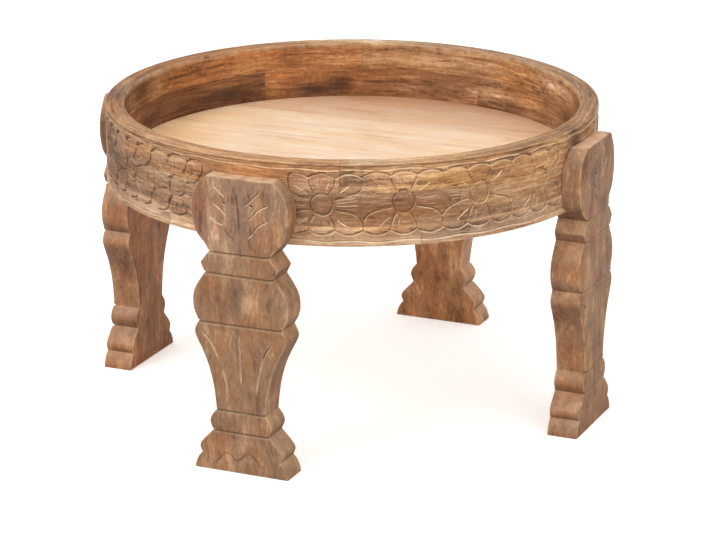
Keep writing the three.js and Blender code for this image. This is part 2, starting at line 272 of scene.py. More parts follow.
# Plane geometry of the cuts
def smooth_path(points, step=CUT_STEP, closed=False):
    """A Catmull-Rom curve through given points, as evenly spaced points."""
    p = np.asarray(points, float)
    if len(p) == 2 and not closed:
        fine = np.linspace(p[0], p[1], 24)
    else:
        ends = (p[-1:], p[:2]) if closed else (2 * p[:1] - p[1:2], 2 * p[-1:] - p[-2:-1])
        ring = np.concatenate((ends[0], p, ends[1]))
        t = np.linspace(0, 1, 16, endpoint=False)[:, None]
        parts = [0.5 * (2 * b + (c - a) * t + (2 * a - 5 * b + 4 * c - d) * t**2
                        + (3 * b - a - 3 * c + d) * t**3)
                 for a, b, c, d in zip(ring, ring[1:], ring[2:], ring[3:])]
        fine = np.concatenate((*parts, p[:1] if closed else p[-1:]))
    return evenly(fine, lambda length: max(3, round(length / step) + 1))


def evenly(path, count):
    """A path's points at even steps. count(length) says how many."""
    along = np.concatenate(([0], np.cumsum(np.hypot(*np.diff(path, axis=0).T))))
    even = np.linspace(0, along[-1], count(along[-1]))
    return np.stack([np.interp(even, along, path[:, k]) for k in (0, 1)], 1)


def from_piece(points, a, b):
    """Where on a straight piece each point's foot is, from 0 to 1, and the way from there to the point."""
    t = np.clip((points - a) @ (b - a) / ((b - a) @ (b - a)), 0, 1)[:, None]
    return t, points - a - t * (b - a)


class Cuts:
    """V-shaped cuts in a plane, kept as short straight pieces.

    Each end of a piece has its sizes: half width, depth, share of the full cut, how far the wood beside
    it has sunk, and paleness.
    """

    def __init__(self):
        self.starts, self.ends, self.start_sizes, self.end_sizes = [], [], [], []
        self.guides, self.tips, self.domes = [], [], []

    def add(self, points, kind, taper=0.0, closed=False):
        """Cuts along a path. taper is the share of its length over which the cut rises at each end."""
        path = smooth_path(points, closed=closed)
        share = np.linspace(0, 1, len(path))
        strength = np.ones(len(path))
        if taper:
            strength = np.clip(np.minimum(share, 1 - share) / taper, WEAKEST_TIP, 1)
        width, depth, sunk, pale = kind
        sizes = strength[:, None] * (width / 2, depth, 1, sunk, pale)
        for kept, more in ((self.starts, path[:-1]), (self.ends, path[1:]),
                           (self.start_sizes, sizes[:-1]), (self.end_sizes, sizes[1:])):
            kept.append(more)
        way = np.gradient(path, axis=0)
        way /= np.hypot(*way.T)[:, None]
        side = np.stack((-way[:, 1], way[:, 0]), 1)
        slant = LIT_SHARE * (side @ -LIT_WAY)[:, None]
        half = sizes[:, :1]
        side *= half
        guard = np.maximum(half, TIP_GUARD) / half
        self.guides.append((path, path + side * (1 + slant), path - side * (1 - slant)))
        if taper:
            ahead = np.stack((way[0] * -TIP_GUARD, way[-1] * TIP_GUARD))
            tips = path[[0, -1]]
            beside = (side * guard)[[0, -1]]
            self.tips.append(np.concatenate((tips + ahead, tips + beside, tips - beside)))

    def close(self):
        for name in ("starts", "ends", "start_sizes", "end_sizes"):
            setattr(self, name, np.concatenate(getattr(self, name)))
        return self

    def depth(self, points):
        """(depth, (share of the full cut, paleness)) at plane points."""
        points = np.asarray(points, float)
        found = np.zeros((3, len(points)))
        sunk = np.zeros(len(points))
        low, high = points.min(0) - 2 * SOFT_REACH, points.max(0) + 2 * SOFT_REACH
        near = np.all((self.starts > low) & (self.starts < high), axis=1)
        pieces = (self.starts, self.ends, self.start_sizes, self.end_sizes)
        for a, b, first, last in zip(*(part[near] for part in pieces)):
            soft_reach = SOFT_REACH if first[3] + last[3] > 0 else 0
            reach = max(1.5 * first[0], 1.5 * last[0], soft_reach) + np.hypot(*(b - a))
            close = np.flatnonzero(np.abs(points - a).max(1) < reach)
            if not len(close):
                continue
            t, gap = from_piece(points[close], a, b)
            away = np.hypot(*gap.T)
            half, deep, share, soft, pale = (first + t * (last - first)).T
            slant = 1 + LIT_SHARE * (gap @ -LIT_WAY) / np.maximum(away, 1e-9)
            rise = np.clip(1 - away / (slant * half), 0, 1)
            found[:, close] = np.maximum(found[:, close], rise * np.array((deep, share, pale)))
            sunk[close] = np.maximum(sunk[close], soft_fall(away) * soft)
        for middle, radius, drop in self.domes:
            away = np.hypot(*(points - middle).T)
            fall = np.where(away < radius, (away / radius) ** DOME_POWER, soft_fall(away - radius))
            sunk = np.maximum(sunk, drop * fall)
        return found[0] + sunk, found[1:].T

    def guide_points(self):
        """Points that the mesh needs: the middles of the cuts first, then their edges."""
        middles = np.concatenate([middle for middle, _, _ in self.guides])
        edges = np.concatenate([np.concatenate((a, b)) for _, a, b in self.guides] + self.tips)
        return middles, edges


def soft_fall(away):
    """The share by which wood has sunk at a distance from a cut."""
    return np.clip(1 - away / SOFT_REACH, 0, 1) ** 2


class Spacing:
    """Takes plane points one by one and refuses those too near to one already taken."""

    def __init__(self, cell):
        self.cell, self.taken = cell, {}

    def near(self, p, reach):
        cells = int(math.ceil(reach / self.cell))
        i, j = int(p[0] // self.cell), int(p[1] // self.cell)
        for a in range(i - cells, i + cells + 1):
            for b in range(j - cells, j + cells + 1):
                for q in self.taken.get((a, b), ()):
                    if (q[0] - p[0]) ** 2 + (q[1] - p[1]) ** 2 < reach * reach:
                        return True
        return False

    def take(self, p):
        self.taken.setdefault((int(p[0] // self.cell), int(p[1] // self.cell)), []).append((p[0], p[1]))


def inside(points, loop):
    """Which plane points lie inside a closed outline."""
    x, y = points.T
    result = np.zeros(len(points), bool)
    for (ax, ay), (bx, by) in zip(loop, np.roll(loop, -1, axis=0)):
        if ay != by:
            result ^= ((ay > y) != (by > y)) & (x < ax + (bx - ax) * (y - ay) / (by - ay))
    return result


def face_points(loop, cuts, rng, field_step=FIELD_STEP, extra=None):
    """Inner points of a face: along its cuts where it has any, and a loose field elsewhere."""
    spacing = Spacing(SPACING_CELL)
    for p in loop:
        spacing.take(p)
    low, high = loop.min(0), loop.max(0)
    chosen = []

    def within(points):
        return points[np.all((points > low) & (points < high), axis=1)]

    def offer(points, reach):
        points = within(points)
        if len(points):
            points = points[inside(points, loop)]
        for p in points:
            if not spacing.near(p, reach):
                spacing.take(p)
                chosen.append(p)

    if extra is not None:
        offer(extra, SHOULDER_STEP / 2)
    if cuts is not None:
        middles, edges = cuts.guide_points()
        offer(middles, CLOSEST_CUT_POINTS)
        near = within(edges)
        if len(near):
            offer(near[cuts.depth(near)[1][:, 0] < 0.1], CLOSEST_CUT_POINTS * 1.4)
    steps = [np.arange(low[k], high[k], field_step) for k in (0, 1)]
    grid = np.stack(np.meshgrid(*steps), -1).reshape(-1, 2)
    offer(grid + rng.uniform(0.2, 0.8, grid.shape) * field_step, CLOSEST_FIELD_POINTS)
    return np.array(chosen).reshape(-1, 2)


def triangles(loop, inner):
    """Delaunay triangles of an outline's points and its inner points, as indices into both in order."""
    points = [Vector(p) for p in np.concatenate((loop, inner))]
    edges = [(i, (i + 1) % len(loop)) for i in range(len(loop))]
    found, _, faces, origins, _, _ = delaunay_2d_cdt(points, edges, [], 1, 1e-9)
    if len(found) != len(points):
        raise ValueError(f"{len(points)} points of a carved face gave {len(found)}")
    back = [origin[0] for origin in origins]
    return [tuple(back[i] for i in face) for face in faces]


def unevenness(seed, size=0.045):
    """A gentle hand-worked waviness: a few sine waves of a seeded direction and phase."""
    rng = np.random.default_rng(seed)
    waves = [(rng.normal(size=3), rng.uniform(0, TURN), rng.uniform(0.6, 1.6)) for _ in range(7)]

    def at(points):
        total = np.zeros(len(points))
        for way, phase, pace in waves:
            total += np.sin(points @ (way / np.linalg.norm(way)) * TURN * pace / size + phase)
        return total / len(waves)

    return at


# Making a piece
def place_object(name, data):
    """A new object in the scene."""
    thing = bpy.data.objects.new(name, data)
    bpy.context.scene.collection.objects.link(thing)
    return thing


def add_piece(name, node, vertices, faces, attributes, material, lean=None, share=None):
    """A closed mesh that stands for a CAD node. attributes are per vertex: numbers or triples.

    lean(centres, normals, share, pale) says how far faces lean towards the light where they are cut,
    which paints a highlight or shade into their colour; share holds the vertices' shares of the full cut
    and their paleness.
    """
    mesh = bpy.data.meshes.new(name)
    mesh.from_pydata([tuple(v) for v in vertices], [], [tuple(int(i) for i in face) for face in faces])
    for key, values in attributes.items():
        triple = np.ndim(values) == 2
        layer = mesh.attributes.new(key, "FLOAT_VECTOR" if triple else "FLOAT", "POINT")
        layer.data.foreach_set("vector" if triple else "value", np.asarray(values, np.float32).ravel())
    mesh.update()
    mesh.polygons.foreach_set("use_smooth", np.ones(len(mesh.polygons), bool))
    mark_sharp(mesh)
    if lean is not None:
        corners = read(mesh.loops, "vertex_index", kind=np.int32)
        starts = read(mesh.polygons, "loop_start", kind=np.int32)
        most = np.maximum.reduceat(share[corners], starts, axis=0)
        values = lean(read(mesh.polygons, "center", 3), read(mesh.polygons, "normal", 3), *most.T)
        mesh.attributes.new("lip", "FLOAT", "FACE").data.foreach_set("value", values.astype(np.float32))
    mesh.materials.append(material)
    piece = place_object(name, mesh)
    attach(piece, "root")
    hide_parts(node)
    return piece


def mark_sharp(mesh):
    """Edges where the surface turns by more than the sharp angle are shaded as corners."""
    normals = read(mesh.polygons, "normal", 3)
    totals = read(mesh.polygons, "loop_total", kind=np.int32)
    owners = np.repeat(np.arange(len(totals)), totals)
    order = np.argsort(read(mesh.loops, "edge_index", kind=np.int32), kind="stable")
    pairs = owners[order].reshape(-1, 2)
    turn = np.einsum("ij,ij->i", normals[pairs[:, 0]], normals[pairs[:, 1]])
    layer = mesh.attributes.new("sharp_edge", "BOOLEAN", "EDGE")
    layer.data.foreach_set("value", turn < math.cos(SHARP_ANGLE))


def quarter_round(ease, steps=3):
    """(inset, depth) pairs round a worn edge, from the face to the side."""
    angles = np.linspace(0, math.pi / 2, steps + 1)
    return [(ease * (1 - math.sin(a)), ease * (1 - math.cos(a))) for a in angles]


def inset(loop, distance):
    """The outline moved inwards. It runs counter-clockwise."""
    before = loop - np.roll(loop, 1, axis=0)
    after = np.roll(loop, -1, axis=0) - loop
    normals = []
    for way in (before, after):
        way /= np.hypot(*way.T)[:, None]
        normals.append(np.stack((-way[:, 1], way[:, 0]), 1))
    middle = normals[0] + normals[1]
    middle /= np.maximum(np.hypot(*middle.T), 0.2)[:, None]
    stretch = 1 / np.clip(np.einsum("ij,ij->i", middle, normals[0]), 0.7, 1)
    return loop + middle * (stretch * distance)[:, None]


def pillow(points, loop):
    """How far a face falls away towards its outline, by each point's distance from it and its height."""
    reach, fall = (np.interp(points[:, 1], PILLOW[:, 0] * MM, PILLOW[:, k] * MM) for k in (1, 2))
    away = np.full(len(points), 1.0)
    for a, b in zip(loop, np.roll(loop, -1, axis=0)):
        away = np.minimum(away, np.hypot(*from_piece(points, a, b)[1].T))
    return fall * np.clip(1 - away / reach, 0, 1) ** 2


def slab(loop, ease, cuts, back_depth, wall_shares, rng, back_extra=None, field=FIELD_STEP, pillowed=False):
    """A plank with worn edges, in plane coordinates and depth below its face.

    Returns plane points, depths, faces, and per vertex the share of the full cut and of the edge's wear.
    """
    rounding = quarter_round(ease)
    flat = inset(loop, rounding[0][0])
    count = len(loop)
    inner = face_points(flat, cuts, rng, field)
    back_inner = face_points(flat, None, rng, 2.5 * field, back_extra)
    front, back = np.concatenate((flat, inner)), np.concatenate((flat, back_inner))
    uncut = np.zeros((len(front) + len(back), 2))
    deep, share = (np.zeros(len(front)), uncut[:len(front)]) if cuts is None else cuts.depth(front)
    if pillowed:
        deep = deep + pillow(front, loop)
    sunk, floor = deep[:count], back_depth(loop)

    parts = [(front, deep, share, 0)]
    for move, drop in rounding[1:]:
        wear = FRONT_WEAR if move > 0 else BESIDE_WEAR
        parts.append((inset(loop, move), sunk + drop, share[:count], wear))
    for way in wall_shares:
        parts.append((loop, np.maximum(sunk + 1.5 * ease, way * floor), uncut[:count], 0))
    for move, drop in reversed(rounding[1:]):
        wear = BACK_WEAR if move > 0 else BESIDE_WEAR
        parts.append((inset(loop, move), floor - drop, uncut[:count], wear))
    parts.append((back, np.concatenate((floor, back_depth(back_inner))), uncut[:len(back)], 0))

    starts = np.cumsum([0] + [len(part[0]) for part in parts])[:-1]
    faces = triangles(flat, inner)
    faces += [tuple(starts[-1] + i for i in reversed(face)) for face in triangles(flat, back_inner)]
    rows = starts[:, None] + np.arange(count)
    for upper, lower in zip(rows, rows[1:]):
        faces += zip(np.roll(upper, -1), upper, lower, np.roll(lower, -1))
    plane, depth, cut = (np.concatenate([part[k] for part in parts]) for k in (0, 1, 2))
    wear = np.concatenate([np.full(len(part[0]), float(part[3])) for part in parts])
    return plane, depth, faces, cut, wear


# Materials
class Graph:
    """A material's node graph, written as function calls."""

    def __init__(self, name):
        self.material = bpy.data.materials.new(name)
        self.material.use_nodes = True
        self.tree = self.material.node_tree
        self.shader = self.tree.nodes["Principled BSDF"]

    def add(self, kind, inputs=(), **settings):
        made = self.tree.nodes.new(kind)
        for key, value in settings.items():
            setattr(made, key, value)
        for key, value in dict(inputs).items():
            self.feed(made.inputs[key], value)
        return made

    def feed(self, socket, value):
        if isinstance(value, bpy.types.NodeSocket):
            self.tree.links.new(value, socket)
        else:
            socket.default_value = value

    def math(self, operation, a, b=0.0, clamp=False):
        made = self.add("ShaderNodeMath", {0: a, 1: b}, operation=operation, use_clamp=clamp)
        return made.outputs[0]

    def vector(self, operation, a, b):
        return self.add("ShaderNodeVectorMath", {0: a, 1: b}, operation=operation).outputs[0]

    def times(self, a, b, clamp=False):
        return self.math("MULTIPLY", a, b, clamp)

    def plus(self, a, b):
        return self.math("ADD", a, b)

    def noise(self, place, scale, detail=2.0, roughness=0.5, distortion=0.0):
        """Noise on a place stretched by three scales, so that its grain can run along one axis."""
        made = self.add("ShaderNodeTexNoise", {
            "Vector": self.vector("MULTIPLY", place, scale), "Scale": 1.0, "Detail": detail,
            "Roughness": roughness, "Distortion": distortion})
        return made.outputs["Fac"]

    def ramp(self, value, low, high, curve="LINEAR"):
        made = self.add("ShaderNodeMapRange", {"Value": value, "From Min": low, "From Max": high},
                        interpolation_type=curve)
        return made.outputs["Result"]

    def step(self, value, low, high):
        return self.ramp(value, low, high, "SMOOTHSTEP")

    def colours(self, value, stops):
        made = self.add("ShaderNodeValToRGB", {"Fac": value})
        made.color_ramp.interpolation = "EASE"
        while len(made.color_ramp.elements) < len(stops):
            made.color_ramp.elements.new(0.5)
        for element, (place, colour) in zip(made.color_ramp.elements, stops):
            element.position = place
            element.color = (*colour, 1)
        return made.outputs["Color"]

    def mix(self, share, a, b, blend="MIX"):
        made = self.add("ShaderNodeMix", data_type="RGBA", blend_type=blend)
        for socket, value in ((made.inputs[0], share), (made.inputs[6], a), (made.inputs[7], b)):
            if isinstance(value, tuple) and len(value) == 3:
                value = (*value, 1)
            self.feed(socket, value)
        return made.outputs[2]

    def attribute(self, name, output):
        return self.add("ShaderNodeAttribute", attribute_name=name, attribute_type="GEOMETRY").outputs[output]


def srgb(*seen):
    """A colour as seen, 0 to 255, in the linear values that shaders take."""
    return tuple(((c / 255 + 0.055) / 1.055) ** 2.4 if c > 10 else c / 255 / 12.92 for c in seen)


def wood(name, palette, contrast=1.0, run=1.0, rings=1.0, mottled=0.3, grainy=1.1, shade_and_dirt_strength=0.7,
         roughness=0.58, fibre=None):
    """Timber. Its fibres run along x of the vertices' grain place, or along the object's axis named by fibre.

    run makes its markings shorter along the fibres. rings, mottled and grainy set how strongly the growth
    rings, the small round blotches and the fine streaks show, and the setting after them how dark the
    walls of cuts turned away from the light are painted: painted shade, with some dirt in the cuts.
    """
    g = Graph(name)
    if fibre is None:
        place = g.attribute("grain", "Vector")
    else:
        own = g.add("ShaderNodeSeparateXYZ", {0: g.add("ShaderNodeTexCoord").outputs["Object"]}).outputs
        x, y = (own[0], own[1]) if fibre == "x" else (own[1], own[0])
        place = g.add("ShaderNodeCombineXYZ", {0: x, 1: y, 2: own[2]}).outputs[0]
    drift = g.add("ShaderNodeTexNoise", {
        "Vector": g.vector("MULTIPLY", place, (5 * run, 13, 13)), "Scale": 1.0, "Detail": 2.0})
    bent = g.vector("SUBTRACT", drift.outputs["Color"], (0.5, 0.5, 0.5))
    place = g.vector("ADD", place, g.vector("MULTIPLY", bent, (0.0, FIBRE_DRIFT, FIBRE_DRIFT)))

    def marks(kind, place=place, distortion=0.0):
        along, across, detail, rough = MARKINGS[kind]
        scale = (along * (1 if kind in ROUND_MARKINGS else run), across, across)
        return g.noise(place, scale, detail, rough, distortion)

    def swing(source, middle, amount):
        return g.times(g.math("SUBTRACT", source, middle), amount * contrast)

    def fade(kind, source):
        return g.step(source, *FADES[kind])

    parts = g.add("ShaderNodeSeparateXYZ", {0: place})
    across, up = parts.outputs[1], parts.outputs[2]
    radius = g.math("SQRT", g.plus(g.times(across, across), g.times(up, up)))
    layers = g.plus(g.times(radius, RINGS_PER_METRE), g.times(marks("layers"), RING_WANDER))
    layer = g.math("FRACT", layers)
    layer = g.times(layer, fade("layer", layer))
    broad, mottle, fine, patch = (marks(kind) for kind in ("broad", "mottle", "fine", "patch"))
    value = g.plus(swing(broad, 0.5, BROAD_WEIGHT), swing(layer, LAYER_MIDDLE, LAYER_WEIGHT * rings))
    value = g.plus(value, swing(mottle, 0.5, mottled))
    value = g.plus(value, g.plus(swing(fine, 0.5, grainy), swing(patch, 0.5, 1.0)))
    value = g.plus(value, 0.5)
    colour = g.colours(value, [(stop, palette[shade]) for shade, stop in STOPS.items()])
    colour = g.mix(fade("warm", marks("warm")), colour, palette["warm"], "MULTIPLY")
    elsewhere = g.vector("ADD", place, (3.0, 1.0, 2.0))
    colour = g.mix(fade("cool", marks("cool", elsewhere)), colour, palette["cool"], "MULTIPLY")
    heart = fade("heart", marks("heart", distortion=0.2))
    colour = g.mix(g.times(heart, HEART_SHARE * rings), colour, palette["heart"], "MULTIPLY")
    pores = fade("pore", marks("pore"))
    colour = g.mix(g.times(pores, PORE_SHARE), colour, palette["pore"])
    if fibre is None:
        colour = carved_looks(g, colour, place, palette, shade_and_dirt_strength)
    g.feed(g.shader.inputs["Base Color"], colour)
    uneven = g.plus(g.times(broad, ROUGHNESS_RANGE), roughness - ROUGHNESS_RANGE / 2)
    g.feed(g.shader.inputs["Roughness"], uneven)
    g.shader.inputs["Specular IOR Level"].default_value = 0.35
    height = g.plus(g.times(fine, 0.5), g.times(pores, -0.6))
    bump = g.add("ShaderNodeBump", {"Height": height, "Strength": BUMP_STRENGTH, "Distance": BUMP_DEPTH})
    g.feed(g.shader.inputs["Normal"], bump.outputs["Normal"])
    return g.material


def carved_looks(g, colour, place, palette, shade_and_dirt_strength):
    """Timber colour with the piece's own tone, a painted highlight on cut walls facing the light over
    partly paler cut wood, painted shade with some dirt on cut walls turned away, and pale worn edges.
    """
    colour = g.mix(1.0, colour, g.attribute("tone", "Vector"), "MULTIPLY")
    lip, pale_wood_and_highlight, wear = (g.attribute(name, "Fac") for name in ("lip", "pale_wood_and_highlight", "wear"))
    patchy = g.ramp(g.noise(place, (60, 60, 60), 2.0), 0.3, 0.6)
    uneven = g.plus(g.times(patchy, 0.5), 0.5)
    pale = g.times(g.times(g.ramp(lip, *HIGHLIGHT_LEAN), pale_wood_and_highlight), uneven, True)
    colour = g.mix(pale, colour, palette["pale_wood_and_highlight"])
    shade_and_dirt = g.times(g.ramp(lip, *SHADE_LEAN), g.math("SUBTRACT", 1.0, g.times(pale_wood_and_highlight, SHADE_EASED_BY_PALENESS)))
    colour = g.mix(g.times(shade_and_dirt, shade_and_dirt_strength, True), colour, palette["shade_and_dirt"])
    return g.mix(g.times(g.times(wear, patchy), WEAR_SHARE, True), colour, palette["pale_wood_and_highlight"])


def steel(name):
    """Dull steel with a little rust bloom."""
    g = Graph(name)
    place = g.add("ShaderNodeTexCoord").outputs["Object"]
    bloom = g.step(g.noise(place, (700, 700, 700), 3.0), 0.35, 0.6)
    g.feed(g.shader.inputs["Base Color"], g.mix(bloom, srgb(112, 102, 92), srgb(84, 56, 40)))
    g.feed(g.shader.inputs["Roughness"], g.plus(g.times(bloom, 0.3), 0.38))
    g.shader.inputs["Metallic"].default_value = 0.9
    return g.material


# Markings of timber, as noise: cycles a metre along the fibres and across them, detail, roughness
MARKINGS = {
    "layers": (1.5, 9, 3.0, 0.5), "broad": (3.6, 75, 4.0, 0.58), "patch": (7, 20, 4.0, 0.6),
    "fine": (22, 330, 5.0, 0.72), "mottle": (150, 170, 3.0, 0.6), "warm": (4.5, 24, 3.0, 0.5),
    "cool": (5, 21, 3.0, 0.5), "heart": (1.9, 50, 3.0, 0.55), "pore": (60, 1300, 2.0, 0.5),
}
# Those that aren't drawn out along the fibres in any timber
ROUND_MARKINGS = ("mottle", "pore")
# Between which values a marking fades in
FADES = {
    "layer": (1.0, 0.82), "warm": (0.4, 0.66), "cool": (0.46, 0.68), "heart": (0.56, 0.7),
    "pore": (0.64, 0.72),
}
# How far the fibres stray, and how closely growth rings stand and how many of them they wander over
FIBRE_DRIFT = 0.016
RINGS_PER_METRE = 125.0
RING_WANDER = 5.0
# How much the broad streaks and the growth rings count in a timber's shade, the rings' average, and
# where in that shade the palette's three colours stand
BROAD_WEIGHT = 1.25
LAYER_WEIGHT = -0.2
LAYER_MIDDLE = 0.35
STOPS = {"dark": 0.12, "middle": 0.5, "light": 0.86}
# How strongly heartwood, pores and worn edges show, and how far the surface swings
HEART_SHARE = 0.7
PORE_SHARE = 0.35
WEAR_SHARE = 0.6
ROUGHNESS_RANGE = 0.16
BUMP_STRENGTH = 0.35
BUMP_DEPTH = 0.4 * MM
# The leans at which a cut's wall begins to get its painted highlight or its painted shade and at which
# it fully does, and how much less painted shade a cut gets where its pale wood and highlight are strong
HIGHLIGHT_LEAN = (0.05, 0.7)
SHADE_LEAN = (-0.05, -0.6)
SHADE_EASED_BY_PALENESS = 0.35

# Each palette of carved wood ends with the pale colour of painted highlights on cut walls, of partly paler
# cut wood and of worn edges, then the dark colour of painted shade in cuts, with dirt and thin lines
RING_PALETTE = {
    "dark": srgb(116, 80, 54), "middle": srgb(174, 131, 95), "light": srgb(216, 177, 137),
    "warm": (1.03, 0.92, 0.75), "cool": (0.88, 0.88, 0.89), "heart": (0.75, 0.66, 0.57),
    "pore": srgb(92, 62, 42), "pale_wood_and_highlight": srgb(244, 212, 172), "shade_and_dirt": srgb(70, 45, 32),
}
PALE_RING_PALETTE = {
    "dark": srgb(132, 92, 64), "middle": srgb(192, 148, 111), "light": srgb(230, 193, 154),
    "warm": (1.02, 0.95, 0.84), "cool": (0.9, 0.91, 0.93), "heart": (0.8, 0.73, 0.65),
    "pore": srgb(104, 72, 50), "pale_wood_and_highlight": srgb(246, 218, 182), "shade_and_dirt": srgb(84, 56, 40),
}
LEG_PALETTE = {
    "dark": srgb(104, 73, 52), "middle": srgb(149, 113, 85), "light": srgb(188, 151, 118),
    "warm": (1.03, 0.9, 0.76), "cool": (0.88, 0.88, 0.87), "heart": (0.74, 0.66, 0.58),
    "pore": srgb(88, 60, 42), "pale_wood_and_highlight": srgb(236, 200, 162), "shade_and_dirt": srgb(70, 44, 32),
}
TOP_PALETTE = {
    "dark": srgb(226, 182, 142), "middle": srgb(250, 218, 186), "light": srgb(255, 236, 212),
    "warm": (0.99, 0.94, 0.84), "cool": (0.99, 0.98, 0.98), "heart": (0.92, 0.84, 0.77),
    "pore": srgb(204, 160, 122), "pale_wood_and_highlight": srgb(250, 226, 196), "shade_and_dirt": srgb(150, 104, 72),
}
FRAME_PALETTE = {
    "dark": srgb(112, 80, 54), "middle": srgb(156, 118, 84), "light": srgb(190, 152, 112),
    "warm": (1.02, 0.92, 0.8), "cool": (0.92, 0.94, 0.96), "heart": (0.75, 0.68, 0.6),
    "pore": srgb(90, 62, 42),
}
MATERIALS = {
    "ring_wood": wood("ring wood", RING_PALETTE, rings=0.7, mottled=0.6, grainy=1.6, shade_and_dirt_strength=0.8),
    "ring_wood_middle": wood("ring wood, middle course", RING_PALETTE, contrast=0.9, rings=0.6,
                             mottled=0.6, grainy=1.8, shade_and_dirt_strength=0.8),
    "ring_wood_pale": wood("pale ring wood", PALE_RING_PALETTE, contrast=0.95, rings=0.5, mottled=0.6,
                           grainy=1.5, shade_and_dirt_strength=0.8),
    "leg_wood": wood("leg wood", LEG_PALETTE, contrast=0.9, run=3.5, rings=0.3, mottled=0.25, grainy=1.15,
                     shade_and_dirt_strength=1.35, roughness=0.48),
    "top_wood": wood("top wood", TOP_PALETTE, contrast=0.75, run=1.5, rings=0.3, roughness=0.62),
    "frame_wood": wood("frame wood", FRAME_PALETTE, fibre="x", roughness=0.7),
    "frame_wood_y": wood("frame wood along y", FRAME_PALETTE, fibre="y", roughness=0.7),
    "steel": steel("dull steel"),
}

# How each piece's timber differs from the palette
PLAIN, WARM, STRAW, GREY, DARK = (
    (1, 1, 1), (1.03, 0.93, 0.84), (1.12, 1.07, 0.88), (0.85, 0.84, 0.84), (0.72, 0.62, 0.56))
BLOCK_TONES = {
    "top": (PLAIN, WARM, GREY, WARM, STRAW, PLAIN),
    "middle": (PLAIN, WARM, DARK, GREY, GREY, GREY),
    "bottom": (PLAIN, PLAIN, PLAIN, PLAIN, PLAIN, PLAIN),
}
# What the ring's inner wall is tinted by, course by course, and how far out that tint reaches
INNER_TONES = {"top": (0.95, 0.83, 0.66), "middle": (0.72, 0.63, 0.54), "bottom": (0.8, 0.72, 0.66)}
INNER_SHARE = 0.3
# How strongly the ring's cuts show pale wood and a painted highlight on their lit walls, with less
# painted shade, by azimuth in degrees
RING_PALE_WOOD_AND_HIGHLIGHT = (
    (0, 0.4), (25, 0.6), (150, 0.75), (200, 0.6), (220, 0.35), (255, 0.4), (276, 0.5), (292, 0.95),
    (330, 0.95), (342, 0.7), (360, 0.4))
LEG_TONES = {
    "leg_front": (0.99, 0.92, 0.81), "leg_right": (1.18, 1.04, 0.92), "leg_back": (1.6, 1.44, 1.2),
    "leg_left": (1.16, 0.98, 0.8),
}
BOARD_TONES = ((0.97, 0.95, 0.89), (1, 1, 1), (1.02, 1.02, 1.02), (1.01, 1.01, 1), (0.88, 0.81, 0.77))


# Patches of other timber colour on the ring's outer face:
# (azimuth in degrees, height, half its span in degrees, half its height, red, green, blue)
RING_PATCHES = (
    (270, 424, 10, 9, 1.04, 0.95, 0.87), (240, 400, 12, 26, 0.82, 0.84, 0.9),
    (217, 395, 9, 60, 0.64, 0.62, 0.62), (230, 378, 10, 24, 0.8, 0.8, 0.78),
    (250, 420, 7, 16, 0.9, 0.9, 0.94), (226, 372, 9, 34, 0.86, 0.84, 0.86),
    (255, 405, 7, 18, 1.08, 1.0, 0.84), (262, 378, 6, 14, 0.84, 0.8, 0.8),
    (247, 338, 13, 14, 1.12, 1.24, 1.38), (287, 386, 5, 30, 0.76, 0.69, 0.63),
    (281, 415, 5, 14, 0.8, 0.76, 0.8), (294, 376, 7, 16, 0.88, 0.82, 0.8),
    (291, 424, 4, 18, 0.84, 0.88, 0.98), (301, 420, 9, 16, 1.28, 1.33, 1.54),
    (302, 388, 8, 9, 0.84, 0.8, 0.82), (312, 391, 10, 10, 0.86, 0.82, 0.84),
    (300, 352, 9, 12, 1.12, 1.04, 0.92), (316, 410, 12, 14, 1.06, 0.98, 0.8),
    (318, 340, 10, 14, 0.9, 0.98, 1.1), (334, 340, 8, 14, 0.82, 0.84, 0.9),
    (334, 385, 10, 30, 1.12, 1.08, 1.0), (342, 395, 9, 24, 1.05, 1.01, 0.94),
    (232, 380, 26, 60, 0.88, 0.87, 0.88), (300, 376, 26, 18, 0.82, 0.7, 0.57),
    (314, 340, 16, 16, 0.83, 0.82, 0.82), (284, 412, 8, 22, 0.88, 0.95, 1.16),
    (295, 410, 4, 18, 0.8, 0.84, 1.0), (306, 370, 12, 12, 0.95, 0.88, 0.75),
    (330, 338, 12, 12, 0.88, 0.86, 0.88), (220, 380, 8, 70, 0.78, 0.71, 0.64),
    (253, 390, 7, 70, 1.1, 1.14, 1.22), (305, 420, 9, 20, 1.08, 1.12, 1.18),
    (336, 415, 9, 20, 1.1, 1.1, 1.12), (238, 418, 8, 12, 1.08, 1.04, 0.9),
    (354.5, 415, 4.5, 60, 0.36, 0.31, 0.28), (308, 372, 14, 14, 0.9, 0.84, 0.72),
    (238, 372, 6, 18, 0.88, 0.88, 0.92), (315, 338, 22, 14, 0.9, 0.88, 0.88),
    (222, 338, 7, 14, 0.92, 0.84, 0.78), (226, 375, 8, 24, 0.93, 0.88, 0.82),
    (246, 375, 6, 20, 0.93, 0.91, 0.93), (338, 375, 10, 22, 1.1, 1.12, 1.12),
)
